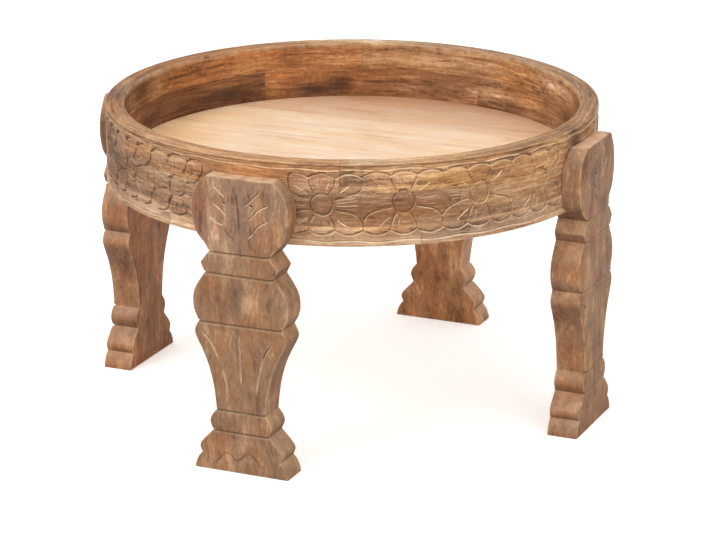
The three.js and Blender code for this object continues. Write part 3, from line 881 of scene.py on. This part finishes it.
# The same on its rim, all at one level: (azimuth, half its span, red, green, blue)
RIM_LEVEL, RIM_REACH = 440, 20
RIM_PATCHES = (
    (28, 20, 0.62, 0.6, 0.57), (112, 22, 1.5, 1.85, 2.1), (172, 18, 0.94, 0.8, 0.6),
    (200, 10, 0.54, 0.48, 0.48), (230, 18, 1.2, 1.18, 1.1), (257, 9, 1.2, 1.26, 1.24),
    (295, 5, 1.14, 1.34, 1.56), (303, 9, 1.22, 1.32, 1.5), (340, 15, 0.7, 0.69, 0.7),
    (120, 16, 1.18, 1.32, 1.4), (152, 14, 0.98, 0.82, 0.52), (180, 14, 0.95, 0.8, 0.57),
    (200, 10, 0.92, 0.82, 0.78), (213, 6, 1, 0.92, 0.78), (226, 6, 1.1, 1.15, 1.18),
    (236, 5, 0.87, 0.9, 0.9), (284, 7, 1.1, 1.18, 1.18), (305, 9, 1.08, 1.14, 1.26),
    (325, 6, 0.88, 0.9, 0.98), (354.5, 5, 0.72, 0.66, 0.62), (346, 5, 0.93, 0.87, 0.86),
    (255, 6, 1.07, 1.13, 1.16), (296, 6, 1.07, 1.12, 1.24), (315, 6, 1.02, 1.09, 1.2),
)
# The same on its inner wall
INNER_PATCHES = (
    (147, 428, 7, 9, 1.32, 1.24, 1.05), (158, 412, 9, 6, 0.9, 0.84, 0.76),
    (135, 430, 12, 4, 1.12, 1.0, 0.82), (128, 411, 14, 6, 0.72, 0.66, 0.6),
    (117, 424, 5, 5, 0.8, 0.74, 0.68), (102, 426, 6, 11, 1.25, 1.3, 1.35),
    (83, 426, 5, 8, 1.2, 1.25, 1.2), (76, 404, 6, 5, 0.66, 0.6, 0.56), (70, 405, 10, 5, 1.1, 1.0, 0.85),
    (116, 418, 9, 18, 1.12, 1.15, 1.2), (86, 418, 13, 18, 1.11, 1.26, 1.55),
    (104, 400, 22, 11, 0.88, 0.84, 0.82), (62, 418, 8, 18, 1.2, 1.22, 1.1),
    (44, 418, 12, 20, 1.2, 1.48, 2.0), (185, 420, 8, 20, 0.5, 0.42, 0.34),
    (200, 420, 24, 22, 0.8, 0.82, 0.84), (154, 372, 14, 18, 0.66, 0.64, 0.64),
    (150, 375, 12, 13, 0.52, 0.5, 0.52), (134, 392, 4, 7, 1.4, 1.2, 1.0),
    (135.5, 378, 4, 20, 1.35, 1.5, 1.6), (117, 374, 4, 16, 0.45, 0.42, 0.5),
    (124, 365, 9, 13, 0.25, 0.23, 0.3), (105, 384, 8, 16, 1.2, 1.25, 1.3),
    (98, 384, 10, 8, 1.15, 1.05, 0.95), (85, 369, 7, 6, 0.66, 0.66, 0.7),
    (92, 380, 22, 16, 1.04, 1.18, 1.36), (72, 380, 9, 18, 1.5, 1.75, 2.0),
    (60, 380, 7, 16, 1.7, 1.85, 1.9), (38, 380, 9, 20, 0.5, 0.42, 0.35),
    (110, 356, 90, 4, 0.7, 0.68, 0.68), (132, 418, 13, 20, 0.97, 0.93, 0.84),
    (165, 410, 12, 25, 0.9, 0.82, 0.68), (54, 412, 4, 9, 1.25, 1.25, 1.25),
    (62, 378, 12, 18, 1.14, 1.12, 1.12), (152, 390, 10, 4, 1.5, 1.45, 1.35),
    (90, 375, 12, 20, 1.12, 1.15, 1.2), (200, 415, 8, 24, 0.56, 0.46, 0.27),
    (185, 415, 8, 24, 0.61, 0.51, 0.33), (172, 415, 6, 22, 0.8, 0.75, 0.62),
    (156, 415, 8, 22, 1.36, 1.36, 1.32), (104, 418, 10, 20, 0.92, 0.94, 1.0),
    (74, 418, 7, 20, 1.12, 1.24, 1.38), (50, 418, 7, 20, 1.36, 1.55, 1.85),
    (26, 418, 9, 20, 0.51, 0.5, 0.49), (26, 378, 8, 20, 0.64, 0.52, 0.47),
    (146, 372, 7, 20, 0.76, 0.7, 0.66), (98, 378, 7, 20, 1.1, 1.15, 1.26),
    (74, 378, 7, 20, 1.5, 1.52, 1.6), (122, 370, 10, 18, 0.88, 0.88, 0.92),
)
# The same on the top, where the first patch darkens the back edge along the ring's wall as painted
# shade: (x, y, half its two widths, red, green, blue)
TOP_PATCHES = (
    (0, 330, 420, 110, 0.78, 0.69, 0.62), (-310, 0, 120, 230, 1.14, 1.04, 0.87),
    (310, 60, 90, 230, 1.0, 0.93, 0.82), (240, 60, 140, 230, 1.12, 1.06, 0.98),
    (-120, -210, 160, 60, 1.04, 0.98, 0.86),
)
# The same on the faces of the legs, with painted light among them (the right leg's darkened face, the
# front head's sheen spots): (across, height, half its width, half its height, red, green, blue)
LEG_PATCHES = {
    # The right leg's face, turned away from the key light, is darkened as painted shade, leaving its sides
    # lighter
    "right": ((0, 220, 2000, 2000, 0.82, 0.83, 0.74),),
    "front": (
        (0, 220, 2000, 2000, 0.98, 1.03, 1.13), (0, 372, 90, 60, 1.14, 1.17, 1.28),
        (0, 240, 14, 24, 0.85, 0.86, 0.88), (0, 40, 90, 40, 1.08, 1.05, 1.04),
        (-58, 372, 14, 46, 0.96, 0.76, 0.72), (6, 368, 16, 50, 0.76, 0.78, 0.83),
        # The spots at (-35, 338), (-34, 356) and (17, 374) are a painted sheen on the head
        (30, 380, 9, 30, 1.2, 1.08, 0.76), (-35, 338, 9, 16, 1.5, 1.47, 1.55),
        (17, 374, 6, 9, 1.12, 1.14, 1.2), (-34, 356, 12, 14, 1.04, 1.02, 1.06),
        (50, 345, 14, 26, 1.0, 0.94, 0.88), (-48, 262, 18, 30, 0.92, 0.76, 0.7),
        (30, 235, 26, 26, 1.2, 1.15, 1.02), (-8, 255, 16, 24, 0.8, 0.8, 0.82),
        (-30, 180, 14, 26, 1.08, 0.95, 0.8), (12, 160, 14, 34, 1.12, 1.02, 0.84),
        (-6, 190, 9, 26, 0.78, 0.78, 0.8), (34, 70, 16, 12, 1.06, 0.94, 0.8),
        (-40, 30, 30, 22, 1.04, 0.96, 0.88), (60, 14, 14, 14, 0.86, 0.86, 0.88),
    ),
}


def tinted(tone, across, up, patches):
    """The tones of points, changed by soft-edged oval patches."""
    for middle, height, half_width, half_height, *tint in patches:
        away = np.hypot((across - middle) / half_width, (up - height) / half_height)
        share = np.clip(1.25 - away, 0, 1)[:, None] ** 1.2
        tone = tone * (1 + share * (np.array(tint) - 1))
    return tone


def flower_shift(index):
    """(along the ring, up, upper scallops up) of one flower, in millimetres."""
    return SHIFTS.get(index % FLOWER_PLACES, (0, 0, 0))


def flower_cuts(cuts, index, middle):
    """Cuts one flower of the ring round its own place, middle metres along the unrolled ring."""
    number = index % FLOWER_PLACES
    rng = np.random.default_rng(SEED + number)
    weight = rng.uniform(*(HEAVY_HAND if number in HEAVY_PLACES else LIGHT_HAND))
    by_leg = {side: (index + side) % FLOWER_PLACES in LEG_PLACES for side in (-1, 1)}
    along, up, raised = flower_shift(index)
    stretch = {
        side: 1 if by_leg[side] else 1 + side * (flower_shift(index + side)[0] - along) / 4 / HALF_PITCH
        for side in (-1, 1)}

    def place(u, w):
        lift = up * max(0, 1 - abs(w) / 40) + raised * np.clip(w / 36, 0, 1)
        return middle + (along + u * stretch[1 if u > 0 else -1]) * MM, FLOWER_HEIGHT + (w + lift) * MM

    def line(points, kind, taper=0.0, loose=PETAL_LOOSE, closed=False):
        shaken = [place(u + rng.uniform(-loose, loose), w + rng.uniform(-loose, loose)) for u, w in points]
        pale = kind[3] * rng.uniform(*PALENESS)
        cuts.add(shaken, (weight * kind[0], weight * kind[1], kind[2], pale), taper, closed)

    def scallop(left, right, cusp, crest):
        share = np.linspace(0, 1, 7)
        rise = (crest - cusp) * np.sin(math.pi * share) ** SCALLOP_POWER
        line(list(zip(left + (right - left) * share, cusp + rise)), OUTLINE_CUT, loose=SCALLOP_LOOSE)

    angles = np.linspace(0, TURN, 14, endpoint=False)
    radii = BOSS_RADIUS + rng.uniform(-0.5, 0.5, len(angles))
    line(list(zip(radii * np.cos(angles), radii * np.sin(angles))), BOSS_CUT, loose=BOSS_LOOSE, closed=True)
    cuts.domes.append((np.array(place(0, 0)), BOSS_RADIUS * MM, BOSS_FALL))
    third = HALF_PITCH / 3
    for cusp, crest in ((CUSP_UP, CREST_UP), (CUSP_DOWN, CREST_DOWN)):
        scallop(-third, third, cusp, crest)
        for side in (-1, 1):
            if by_leg[side]:
                rising = ((1, cusp), (1.4, (cusp + 2 * crest) / 3), (2, crest))
                line([(side * reach * third, w) for reach, w in rising], OUTLINE_CUT, loose=SCALLOP_LOOSE)
            else:
                scallop(*sorted((side * third, side * HALF_PITCH)), cusp, crest)
    for side in (-1, 1):
        def half(points, kind, taper, loose=PETAL_LOOSE):
            line([(side * u, w) for u, w in points], kind, taper, loose)

        half(PETAL_SIDE_UP, PETAL_CUT, 0.1)
        half(PETAL_SIDE_DOWN, PETAL_CUT, 0.1)
        if by_leg[side]:
            half(LEAF_SIDE_UP, PETAL_CUT, 0.06)
            half(LEAF_SIDE_DOWN, PETAL_CUT, 0.06)
        else:
            half(CORNER_SIDE_UP, PETAL_CUT if weight > FIRM_HAND else FAINT_CUT, 0.06)
            half(CORNER_SIDE_DOWN, PETAL_CUT, 0.06)
        if (number, side) in CLOSED_FANS:
            half(SIDE_END, FAINT_CUT, 0.2)
        for stroke in rng.permutation(len(FAN_STROKES))[:rng.integers(3, 6)]:
            half(FAN_STROKES[stroke], FAN_CUT, 0.15, FAN_LOOSE)
        half(CORNER_VEIN_UP, STROKE_CUT, 0.15, VEIN_LOOSE)
        half(CORNER_VEIN_DOWN, STROKE_CUT, 0.15, VEIN_LOOSE)
    for strokes in (TOP_STROKES, BOTTOM_STROKES):
        for stroke in strokes[:rng.integers(1, 4)]:
            line(stroke, STROKE_CUT, 0.2, STROKE_LOOSE)


def ring_cuts():
    """The ring's cuts on its face, unrolled to (arc length, height), from before 0 to past a full turn."""
    cuts = Cuts()
    pitch = TURN / FLOWER_PLACES
    for index in range(-2, FLOWER_PLACES + 3):
        if index % FLOWER_PLACES not in LEG_PLACES:
            flower_cuts(cuts, index, index * pitch * RING_RADIUS)
    rng = np.random.default_rng(SEED)
    per_turn = FLOWER_PLACES * 3
    for border, wave, kind in BORDERS:
        waves = rng.uniform(-0.5, 0.5, per_turn) + wave * np.resize((-1, 1), per_turn)
        line = []
        for i in range(-6, per_turn + 9):
            u = i / per_turn * TURN * RING_RADIUS
            line.append((u, FLOWER_HEIGHT + (border + waves[i % per_turn]) * MM))
        cuts.add(line, BORDER_CUTS[kind])
    return cuts.close()


# Ring blocks
def block_span(node):
    """(from, to) azimuths, (inner, outer) radii and (low, high) heights of a ring block."""
    x, y, z = points_of(node).T
    middle = math.atan2(y.mean(), x.mean()) % TURN
    angles = (np.arctan2(y, x) - middle + math.pi) % TURN - math.pi + middle
    radii = np.hypot(x, y)
    return (angles.min(), angles.max()), (radii.min(), radii.max()), (z.min(), z.max())


def block_profile(inner, outer, low, high, ease_low, ease_high):
    """The section from the top of the carved face over the rim, down the inner wall and back underneath.

    Rows of (radius, height, wear, whether it follows the carving).
    """
    rows = []

    def worn(amount, ease, drop):
        return amount if drop > 0 and ease > WORN_EASE else 0.0

    for move, drop in quarter_round(ease_high)[::-1][1:]:
        rows.append((outer - move, high - drop, worn(RIM_WEAR, ease_high, drop), True))
    rows += [(r, high, 0.0, False) for r in np.linspace(outer - ease_high, inner + ease_high, 5)[1:-1]]
    for move, drop in quarter_round(ease_high):
        wear = worn(RING_WEAR, ease_high, drop) * (drop < ease_high)
        rows.append((inner + move, high - drop, wear, False))
    rows += [(inner, z, 0.0, False) for z in np.linspace(high - ease_high, low + ease_low, 7)[1:-1]]
    rows += [(inner + move, low + drop, 0.0, False) for move, drop in quarter_round(ease_low)[::-1]]
    rows += [(r, low, 0.0, False) for r in np.linspace(inner + ease_low, outer - ease_low, 4)[1:-1]]
    for move, drop in quarter_round(ease_low)[:-1]:
        rows.append((outer - move, low + drop, worn(RING_WEAR, ease_low, drop), True))
    return rows


def ring_block(node, course, index, cuts, slot):
    span, (inner, outer), (low, high) = block_span(node)
    rng = np.random.default_rng(SEED + 100 * index + len(course))
    columns, faces = block_mesh(course, span, (inner, outer), (low, high), cuts, rng)
    around, radius, height, share, wear = columns
    spot = np.stack((radius * np.cos(around), radius * np.sin(around), height), 1)
    hollow = UNEVENNESS * (0.5 + 0.5 * unevenness(SEED)(spot))
    radius = radius + hollow * (1 - 2 * (radius - inner) / (outer - inner))
    spot[:, 0], spot[:, 1] = radius * np.cos(around), radius * np.sin(around)
    middle = sum(span) / 2
    out = np.array((math.cos(middle), math.sin(middle), 0))
    sideways = radius - inner + CHORD_SHARE * (spot @ out - radius)
    grain = np.stack(((around - middle) * outer, sideways, height - low), 1)
    grain += rng.uniform((-3, 0.04, -0.09), (3, 0.12, 0.09))
    azimuth = np.degrees(around) % 360
    timber = np.tile(BLOCK_TONES[course][index], (len(spot), 1))
    outside = tinted(timber, azimuth, height / MM, RING_PATCHES)
    if course == "top":
        patches = [(at, RIM_LEVEL, reach, RIM_REACH, *tint) for at, reach, *tint in RIM_PATCHES]
        rim = tinted(timber, azimuth, height / MM, patches)
        outside = np.where((height > high - 0.3 * RIM_EASE)[:, None], rim, outside)
    inside_tone = tinted(timber * INNER_TONES[course], azimuth, height / MM, INNER_PATCHES)
    depth = INNER_SHARE * (outer - inner)
    inward = np.clip((inner + depth - radius) / depth, 0, 1)[:, None]
    attributes = {
        "grain": grain, "tone": outside + inward * (inside_tone - outside), "wear": wear,
        "pale_wood_and_highlight": np.interp(azimuth, *zip(*RING_PALE_WOOD_AND_HIGHLIGHT))}

    # Cut walls leaning towards the light get a painted highlight, above zero; those leaning away get painted
    # shade
    def lean(centres, normals, cut_share, pale):
        out = centres[:, :2] / np.hypot(*centres[:, :2].T)[:, None]
        right = np.stack((-out[:, 1], out[:, 0]), 1)
        towards = LIT_WAY[0] * np.einsum("ij,ij->i", normals[:, :2], right) + LIT_WAY[1] * normals[:, 2]
        steep = np.interp(1 - np.abs(np.einsum("ij,ij->i", normals[:, :2], out)), STEEP, (0, 1))
        return np.where(towards > 0, pale, cut_share) * steep * np.clip(towards / FULL_LEAN, -1, 1)

    material = MATERIALS["ring_wood_middle" if course == "middle" else slot]
    return add_piece(f"carved_{node}", node, spot, faces, attributes, material, lean, share)


def block_mesh(course, span, radii, heights, cuts, rng):
    """A block's vertices as (azimuths, radii, heights, cut shares, wear), and its faces."""
    (start, end), (inner, outer), (low, high) = span, radii, heights
    ease_low = FOOT_EASE if course == "bottom" else SEAM_EASE
    ease_high = RIM_EASE if course == "top" else SEAM_EASE
    u = np.linspace(start, end, round((end - start) * outer / EDGE_STEP)) * outer
    z = np.linspace(low + ease_low, high - ease_high, round((high - low) / EDGE_STEP))
    bottom, top = (np.stack((u, np.full(len(u), level)), 1) for level in (z[0], z[-1]))
    right, left = (np.stack((np.full(len(z), side), z), 1)[1:-1] for side in (u[-1], u[0]))
    loop = np.concatenate((bottom, right, top[::-1], left[::-1]))
    inner_points = face_points(loop, cuts, rng)
    plane = np.concatenate((loop, inner_points))
    deep, share = cuts.depth(plane)
    faces = triangles(loop, inner_points)
    corners = np.cumsum((len(u), len(right), len(u)))
    bottom_ids, right_ids, top_ids, left_ids = np.split(np.arange(len(loop)), corners)
    top_ids, left_ids = top_ids[::-1], left_ids[::-1]
    columns = [plane[:, 0] / outer, outer - deep, plane[:, 1], share, np.zeros(len(plane))]
    rows = [top_ids]
    for r, h, worn, follows in block_profile(inner, outer, low, high, ease_low, ease_high):
        edge_ids = top_ids if h > (low + high) / 2 else bottom_ids
        row = [u / outer, r - (deep[edge_ids] if follows else np.zeros(len(u))), np.full(len(u), h),
               np.zeros((len(u), 2)), np.full(len(u), worn)]
        rows.append(np.arange(len(u)) + len(columns[0]))
        columns = [np.concatenate(pair) for pair in zip(columns, row)]
    rows.append(bottom_ids)
    for upper, lower in zip(rows, rows[1:]):
        faces += zip(upper[:-1], upper[1:], lower[1:], lower[:-1])
    for column, edge_ids, flip in ((0, left_ids, False), (-1, right_ids, True)):
        rim = [row[column] for row in rows] + list(edge_ids)
        section = np.stack((columns[1][rim], columns[2][rim]), 1)
        for face in triangles(section, np.empty((0, 2))):
            ids = [rim[i] for i in face]
            a, b, c = section[list(face)]
            turn = (b[0] - a[0]) * (c[1] - a[1]) - (b[1] - a[1]) * (c[0] - a[0])
            faces.append(ids[::-1] if (turn > 0) == flip else ids)
    return columns, faces


# Legs
def leg_outline():
    """(half width, height) pairs of the legs, from the floor up, read from the walls of a CAD solid."""
    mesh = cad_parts["leg_front"].data
    narrowest = 0.45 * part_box("leg_front")[1][0]
    places = {}
    for face in mesh.polygons:
        if abs(face.normal.y) < 1e-3 and face.normal.x > 0.02:
            for index in face.vertices:
                x, _, z = mesh.vertices[index].co
                if x > narrowest:
                    places[round(z, 6)] = x
    return np.array([(x, z) for z, x in sorted(places.items())])


def even_wall(outline):
    """The outline with even steps between its corners, and with points at both edges of the shoulder."""
    shoulder = np.array((RING_LOW, RING_LOW + SHOULDER_STEP))
    widths = np.interp(shoulder, outline[:, 1], outline[:, 0])
    apart = np.abs(outline[:, 1][:, None] - shoulder).min(1) > 0.5 * MM
    outline = np.concatenate((outline[apart], np.stack((widths, shoulder), 1)))
    outline = outline[np.argsort(outline[:, 1])]
    ways = np.diff(outline, axis=0)
    headings = np.unwrap(np.arctan2(ways[:, 1], ways[:, 0]))
    corner = np.abs(np.diff(headings)) > CORNER_TURN
    corner |= np.isin(outline[1:-1, 1], shoulder)
    stops = [0, *(np.flatnonzero(corner) + 1), len(outline) - 1]
    even = []

    def wall_points(length):
        return max(1, round(length / WALL_STEP)) + 1

    for start, stop in zip(stops, stops[1:]):
        even += list(evenly(outline[start:stop + 1], wall_points)[:-1])
    return np.array([*even, outline[-1]])


def leg_loop():
    """The leg's outline, counter-clockwise from the foot's right corner, with points at an even step."""
    right = even_wall(leg_outline())
    left = right[::-1] * (-1, 1)
    top = np.linspace(right[-1], left[0], round(2 * right[-1][0] / WALL_STEP))[1:-1]
    bottom = np.linspace(left[-1], right[0], round(2 * right[0][0] / WALL_STEP))[1:-1]
    return np.concatenate((right, top, left, bottom))


def neck_heights():
    """Heights of the V-grooves across a leg's face, read from their bottoms in the CAD solid."""
    x, y, z = points_of("leg_front").T
    bottoms = (np.abs(y + LEG_FACE - NECK_CUT[1]) < 0.05 * MM) & (x > 0.03)
    return sorted(set(np.round(z[bottoms], 4)))


def leg_cuts(index):
    """The carving of one leg's face, on its plane of (across, height). The front leg's is leg 0's."""
    rng = np.random.default_rng(SEED + 50 + index)
    cuts = Cuts()
    loose = 1.5 if index else 0.4

    def line(points, kind, taper, loose=loose, narrow=1.0):
        kind = (*kind[:3], kind[3] * (rng.uniform(*OTHER_PALENESS) if index else 1))
        cuts.add([((narrow * x + rng.uniform(-loose, loose)) * MM, (z + rng.uniform(-loose, loose)) * MM)
                  for x, z in points], kind, taper)

    reach = 1.1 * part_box("leg_front")[1][0]
    for height in neck_heights():
        tilt, bow = rng.uniform(-0.9, 0.9, 2) * MM
        cuts.add([(-reach, height - tilt), (0, height + 0.5 * bow), (reach, height + tilt)], NECK_CUT)
    for points in LEG_HEAD_STROKES:
        line(points, HEAD_CUT, 0.2, narrow=OTHER_HEAD_WIDTH if index else 1.0)
    for lines, kind, taper in ((LEG_THIN_LINES, WAVE_CUT, 0.3), (LEG_SCRATCHES, SCRATCH_CUT, 0.3),
                               (LEG_FLUTES, FLUTE_CUT, 0.15)):
        for points in lines:
            line(points, kind, taper)
    if not index:
        line(LEG_WAVE, WAVE_CUT, 0.1, 0.0)
    for number in (1, 2):
        low, high = (np.array(corner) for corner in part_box(f"leg_front_nail_{number}"))
        x, _, z = (low + high) / 2
        cuts.add([(x - 0.1 * MM, z), (x + 0.1 * MM, z)], NAIL_CUT)
    return cuts.close()


def leg_piece(index, name):
    node = f"leg_{name}"
    rng = np.random.default_rng(SEED + 70 + index)
    low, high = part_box("leg_front")
    thickness = high[1] - low[1]
    seat_radius = RING_RADIUS + SEAT_GAP

    def back_depth(points):
        seat = LEG_FACE - np.sqrt(seat_radius**2 - points[:, 0] ** 2)
        return np.where(points[:, 1] > RING_LOW + SHOULDER_STEP / 2, seat, thickness)

    across = np.arange(low[0], high[0], 3 * MM)
    shoulder = np.concatenate([np.stack((across, np.full(len(across), z)), 1)
                               for z in (RING_LOW, RING_LOW + SHOULDER_STEP)])
    plane, depth, faces, cut, wear = slab(
        leg_loop(), LEG_EASE, leg_cuts(index), back_depth, LEG_WALL_SHARES, rng, shoulder, pillowed=True)
    end_grain = (plane[:, 1] > high[2] - 0.1 * MM) & (depth > LEG_EASE)
    local = np.stack((plane[:, 0], depth - LEG_FACE, plane[:, 1]), 1)
    hollow = UNEVENNESS * (0.5 + 0.5 * unevenness(SEED + index)(local))
    local[:, 1] += hollow * (depth < WAVY_DEPTH)
    turn = index * TURN / 4
    c, s = math.cos(turn), math.sin(turn)
    x, y, z = local.T
    spot = np.stack((c * x - s * y, s * x + c * y, z), 1)
    grain = np.stack((z, x, y + LEG_FACE), 1) + rng.uniform((-3, -0.05, 0.03), (3, 0.05, 0.09))
    tone = np.tile(LEG_TONES[node], (len(spot), 1))
    patched = tinted(tone, *(plane.T / MM), LEG_PATCHES.get(name, ()))
    tone = np.where((depth < PATCH_DEPTH)[:, None], patched, tone)
    tone = tone * np.where(end_grain, END_GRAIN_TONE, 1.0)[:, None]
    attributes = {
        "grain": grain, "tone": tone, "wear": np.maximum(wear, END_GRAIN_WEAR * end_grain),
        "pale_wood_and_highlight": np.full(len(spot), LEG_PALE_WOOD_AND_HIGHLIGHT)}
    shade_and_dirt = OTHER_SHADE_AND_DIRT if index else 1.0

    # Cut walls leaning towards the light get a painted highlight and those leaning away get painted shade;
    # thin lines get a dark stain
    def lean(centres, normals, cut_share, pale):
        right, outward = normals[:, :2] @ (c, s), normals[:, :2] @ (s, -c)
        towards = SIDEWAYS_LIGHT * LIT_WAY[0] * right + LIT_WAY[1] * normals[:, 2]
        steep = np.interp(1 - np.abs(outward), STEEP, (0, 1))
        lit = pale * np.clip(towards / FULL_LEAN + PALE_LIFT, LEAST_PALE, 1)
        shaded = shade_and_dirt * cut_share * np.clip(towards / FULL_LEAN, -1, 0)
        carved = steep * np.where(towards > LEG_SHADE, lit, shaded)
        thin = -THIN_LINE_STAIN * shade_and_dirt * steep * cut_share
        carved = np.where(pale > 0.02 * cut_share, carved, thin)
        # Sides are painted pale where they slope up and dark where they slope down: painted highlight and
        # shade
        side = np.where(normals[:, 2] > 0, *SIDE_LEAN) * normals[:, 2]
        return np.where(np.abs(outward) < SIDE_TURN, side, carved)

    return add_piece(
        f"carved_{node}", node, spot, faces, attributes, MATERIALS["leg_wood"], lean, cut)


# Boards of the top
def board_loop(node):
    """The board's outline in plan, counter-clockwise, read from the upper face of its CAD solid."""
    points = points_of(node)
    upper = points[points[:, 2] > points[:, 2].max() - 0.1 * MM][:, :2]
    upper = np.unique(np.round(upper, 6), axis=0)
    middle = upper.mean(0)
    upper = upper[np.argsort(np.arctan2(*(upper - middle).T[::-1]))]
    loop = []
    for a, b in zip(upper, np.roll(upper, -1, axis=0)):
        count = max(1, round(np.hypot(*(b - a)) / (6 * MM)))
        loop += [a + (b - a) * i / count for i in range(count)]
    return np.array(loop)


def board_piece(index, node):
    rng = np.random.default_rng(SEED + 90 + index)
    low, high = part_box(node)
    thickness = high[2] - low[2]
    plane, depth, faces, _, wear = slab(
        board_loop(node), BOARD_EASE, None, lambda points: np.full(len(points), thickness), (0.5,), rng,
        field=12 * MM)
    spot = np.stack((plane[:, 0], plane[:, 1], high[2] - depth), 1)
    face = depth < 0.1 * MM
    spot[:, 2] -= face * BOARD_EASE * 0.3 * (0.5 + 0.5 * unevenness(SEED, 0.09)(spot))
    offset = rng.uniform((-3, -0.03, 0.06), (3, 0.03, 0.14))
    attributes = {
        "grain": spot - (0, (low[1] + high[1]) / 2, high[2]) + offset,
        "tone": tinted(np.tile(BOARD_TONES[index], (len(spot), 1)), *(plane.T / MM), TOP_PATCHES),
        "wear": 0.3 * wear, "pale_wood_and_highlight": np.zeros(len(spot))}
    return add_piece(f"dressed_{node}", node, spot, faces, attributes, MATERIALS["top_wood"])


def dress_ring():
    cuts = ring_cuts()
    for course in ("bottom", "middle", "top"):
        slot = "ring_wood_pale" if course == "bottom" else "ring_wood"
        for index, node in enumerate(numbered(f"ring_{course}_block")):
            ring_block(node, course, index, cuts, slot)


def dress_hidden_parts():
    """The cleats, battens, nails and screws keep their CAD solids and get finished materials."""
    along_y = ("batten_left", "batten_right", "cleat_left", "cleat_right")
    for name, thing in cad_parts.items():
        kind = "steel" if "screw" in name or "nail" in name else None
        if name.startswith(("batten", "cleat")) and not kind:
            kind = "frame_wood_y" if name in along_y else "frame_wood"
        if kind:
            thing.data.materials.clear()
            thing.data.materials.append(MATERIALS[kind])


# Surroundings
def add_floor():
    """A pale floor, lifted to white for the camera where no shadow falls on it."""
    mesh = bpy.data.meshes.new("floor")
    corners = [(FLOOR_REACH * x, FLOOR_REACH * y, 0) for x, y in ((-1, -1), (1, -1), (1, 1), (-1, 1))]
    mesh.from_pydata(corners, [], [(0, 1, 2, 3)])
    g = Graph("floor paint")
    seen = g.add("ShaderNodeLightPath").outputs["Is Camera Ray"]
    for socket, value in (
            ("Base Color", (*FLOOR_COLOUR, 1)), ("Roughness", 0.9), ("Specular IOR Level", 0.1),
            ("Emission Color", (1, 1, 1, 1)), ("Emission Strength", g.times(seen, FLOOR_LIFT))):
        g.feed(g.shader.inputs[socket], value)
    mesh.materials.append(g.material)
    floor = place_object("floor", mesh)


def add_world():
    world = bpy.data.worlds.new("studio")
    bpy.context.scene.world = world
    world.use_nodes = True
    tree = world.node_tree
    background = tree.nodes["Background"]
    path = tree.nodes.new("ShaderNodeLightPath")
    strength = tree.nodes.new("ShaderNodeMapRange")
    strength.inputs["To Min"].default_value = WORLD_STRENGTH
    strength.inputs["To Max"].default_value = 1.0
    background.inputs["Color"].default_value = (1, 1, 1, 1)
    tree.links.new(path.outputs["Is Camera Ray"], strength.inputs["Value"])
    tree.links.new(strength.outputs["Result"], background.inputs["Strength"])


def add_softbox(name, place, size, power):
    """A square area lamp that faces the table."""
    lamp = bpy.data.lights.new(name, "AREA")
    lamp.size = size
    lamp.energy = power
    box = place_object(name, lamp)
    box.location = place
    box.rotation_mode = "QUATERNION"
    box.rotation_quaternion = (Vector(LAMP_TARGET) - Vector(place)).to_track_quat("-Z", "Y")


def add_camera():
    azimuth, elevation = (math.radians(a) for a in CAMERA_ANGLES)
    level = math.cos(elevation)
    back = Vector((math.sin(azimuth) * level, -math.cos(azimuth) * level, math.sin(elevation)))
    data = bpy.data.cameras.new("camera")
    data.sensor_width = SENSOR_WIDTH
    data.lens = LENS
    camera = place_object("camera", data)
    camera.location = CAMERA_PLACE
    camera.rotation_mode = "QUATERNION"
    camera.rotation_quaternion = (-back).to_track_quat("-Z", "Y")
    bpy.context.scene.camera = camera


dress_ring()
for number, leg in enumerate(("front", "right", "back", "left")):
    leg_piece(number, leg)
for number, board in enumerate(numbered("top_board")):
    board_piece(number, board)
dress_hidden_parts()

bpy.context.scene.view_settings.view_transform = "Standard"
add_floor()
add_world()
add_softbox("key", (-1.6, -3.2, 3.0), 2.0, 66)
add_softbox("fill", (3.0, -1.2, 2.2), 2.6, 26)
add_camera()
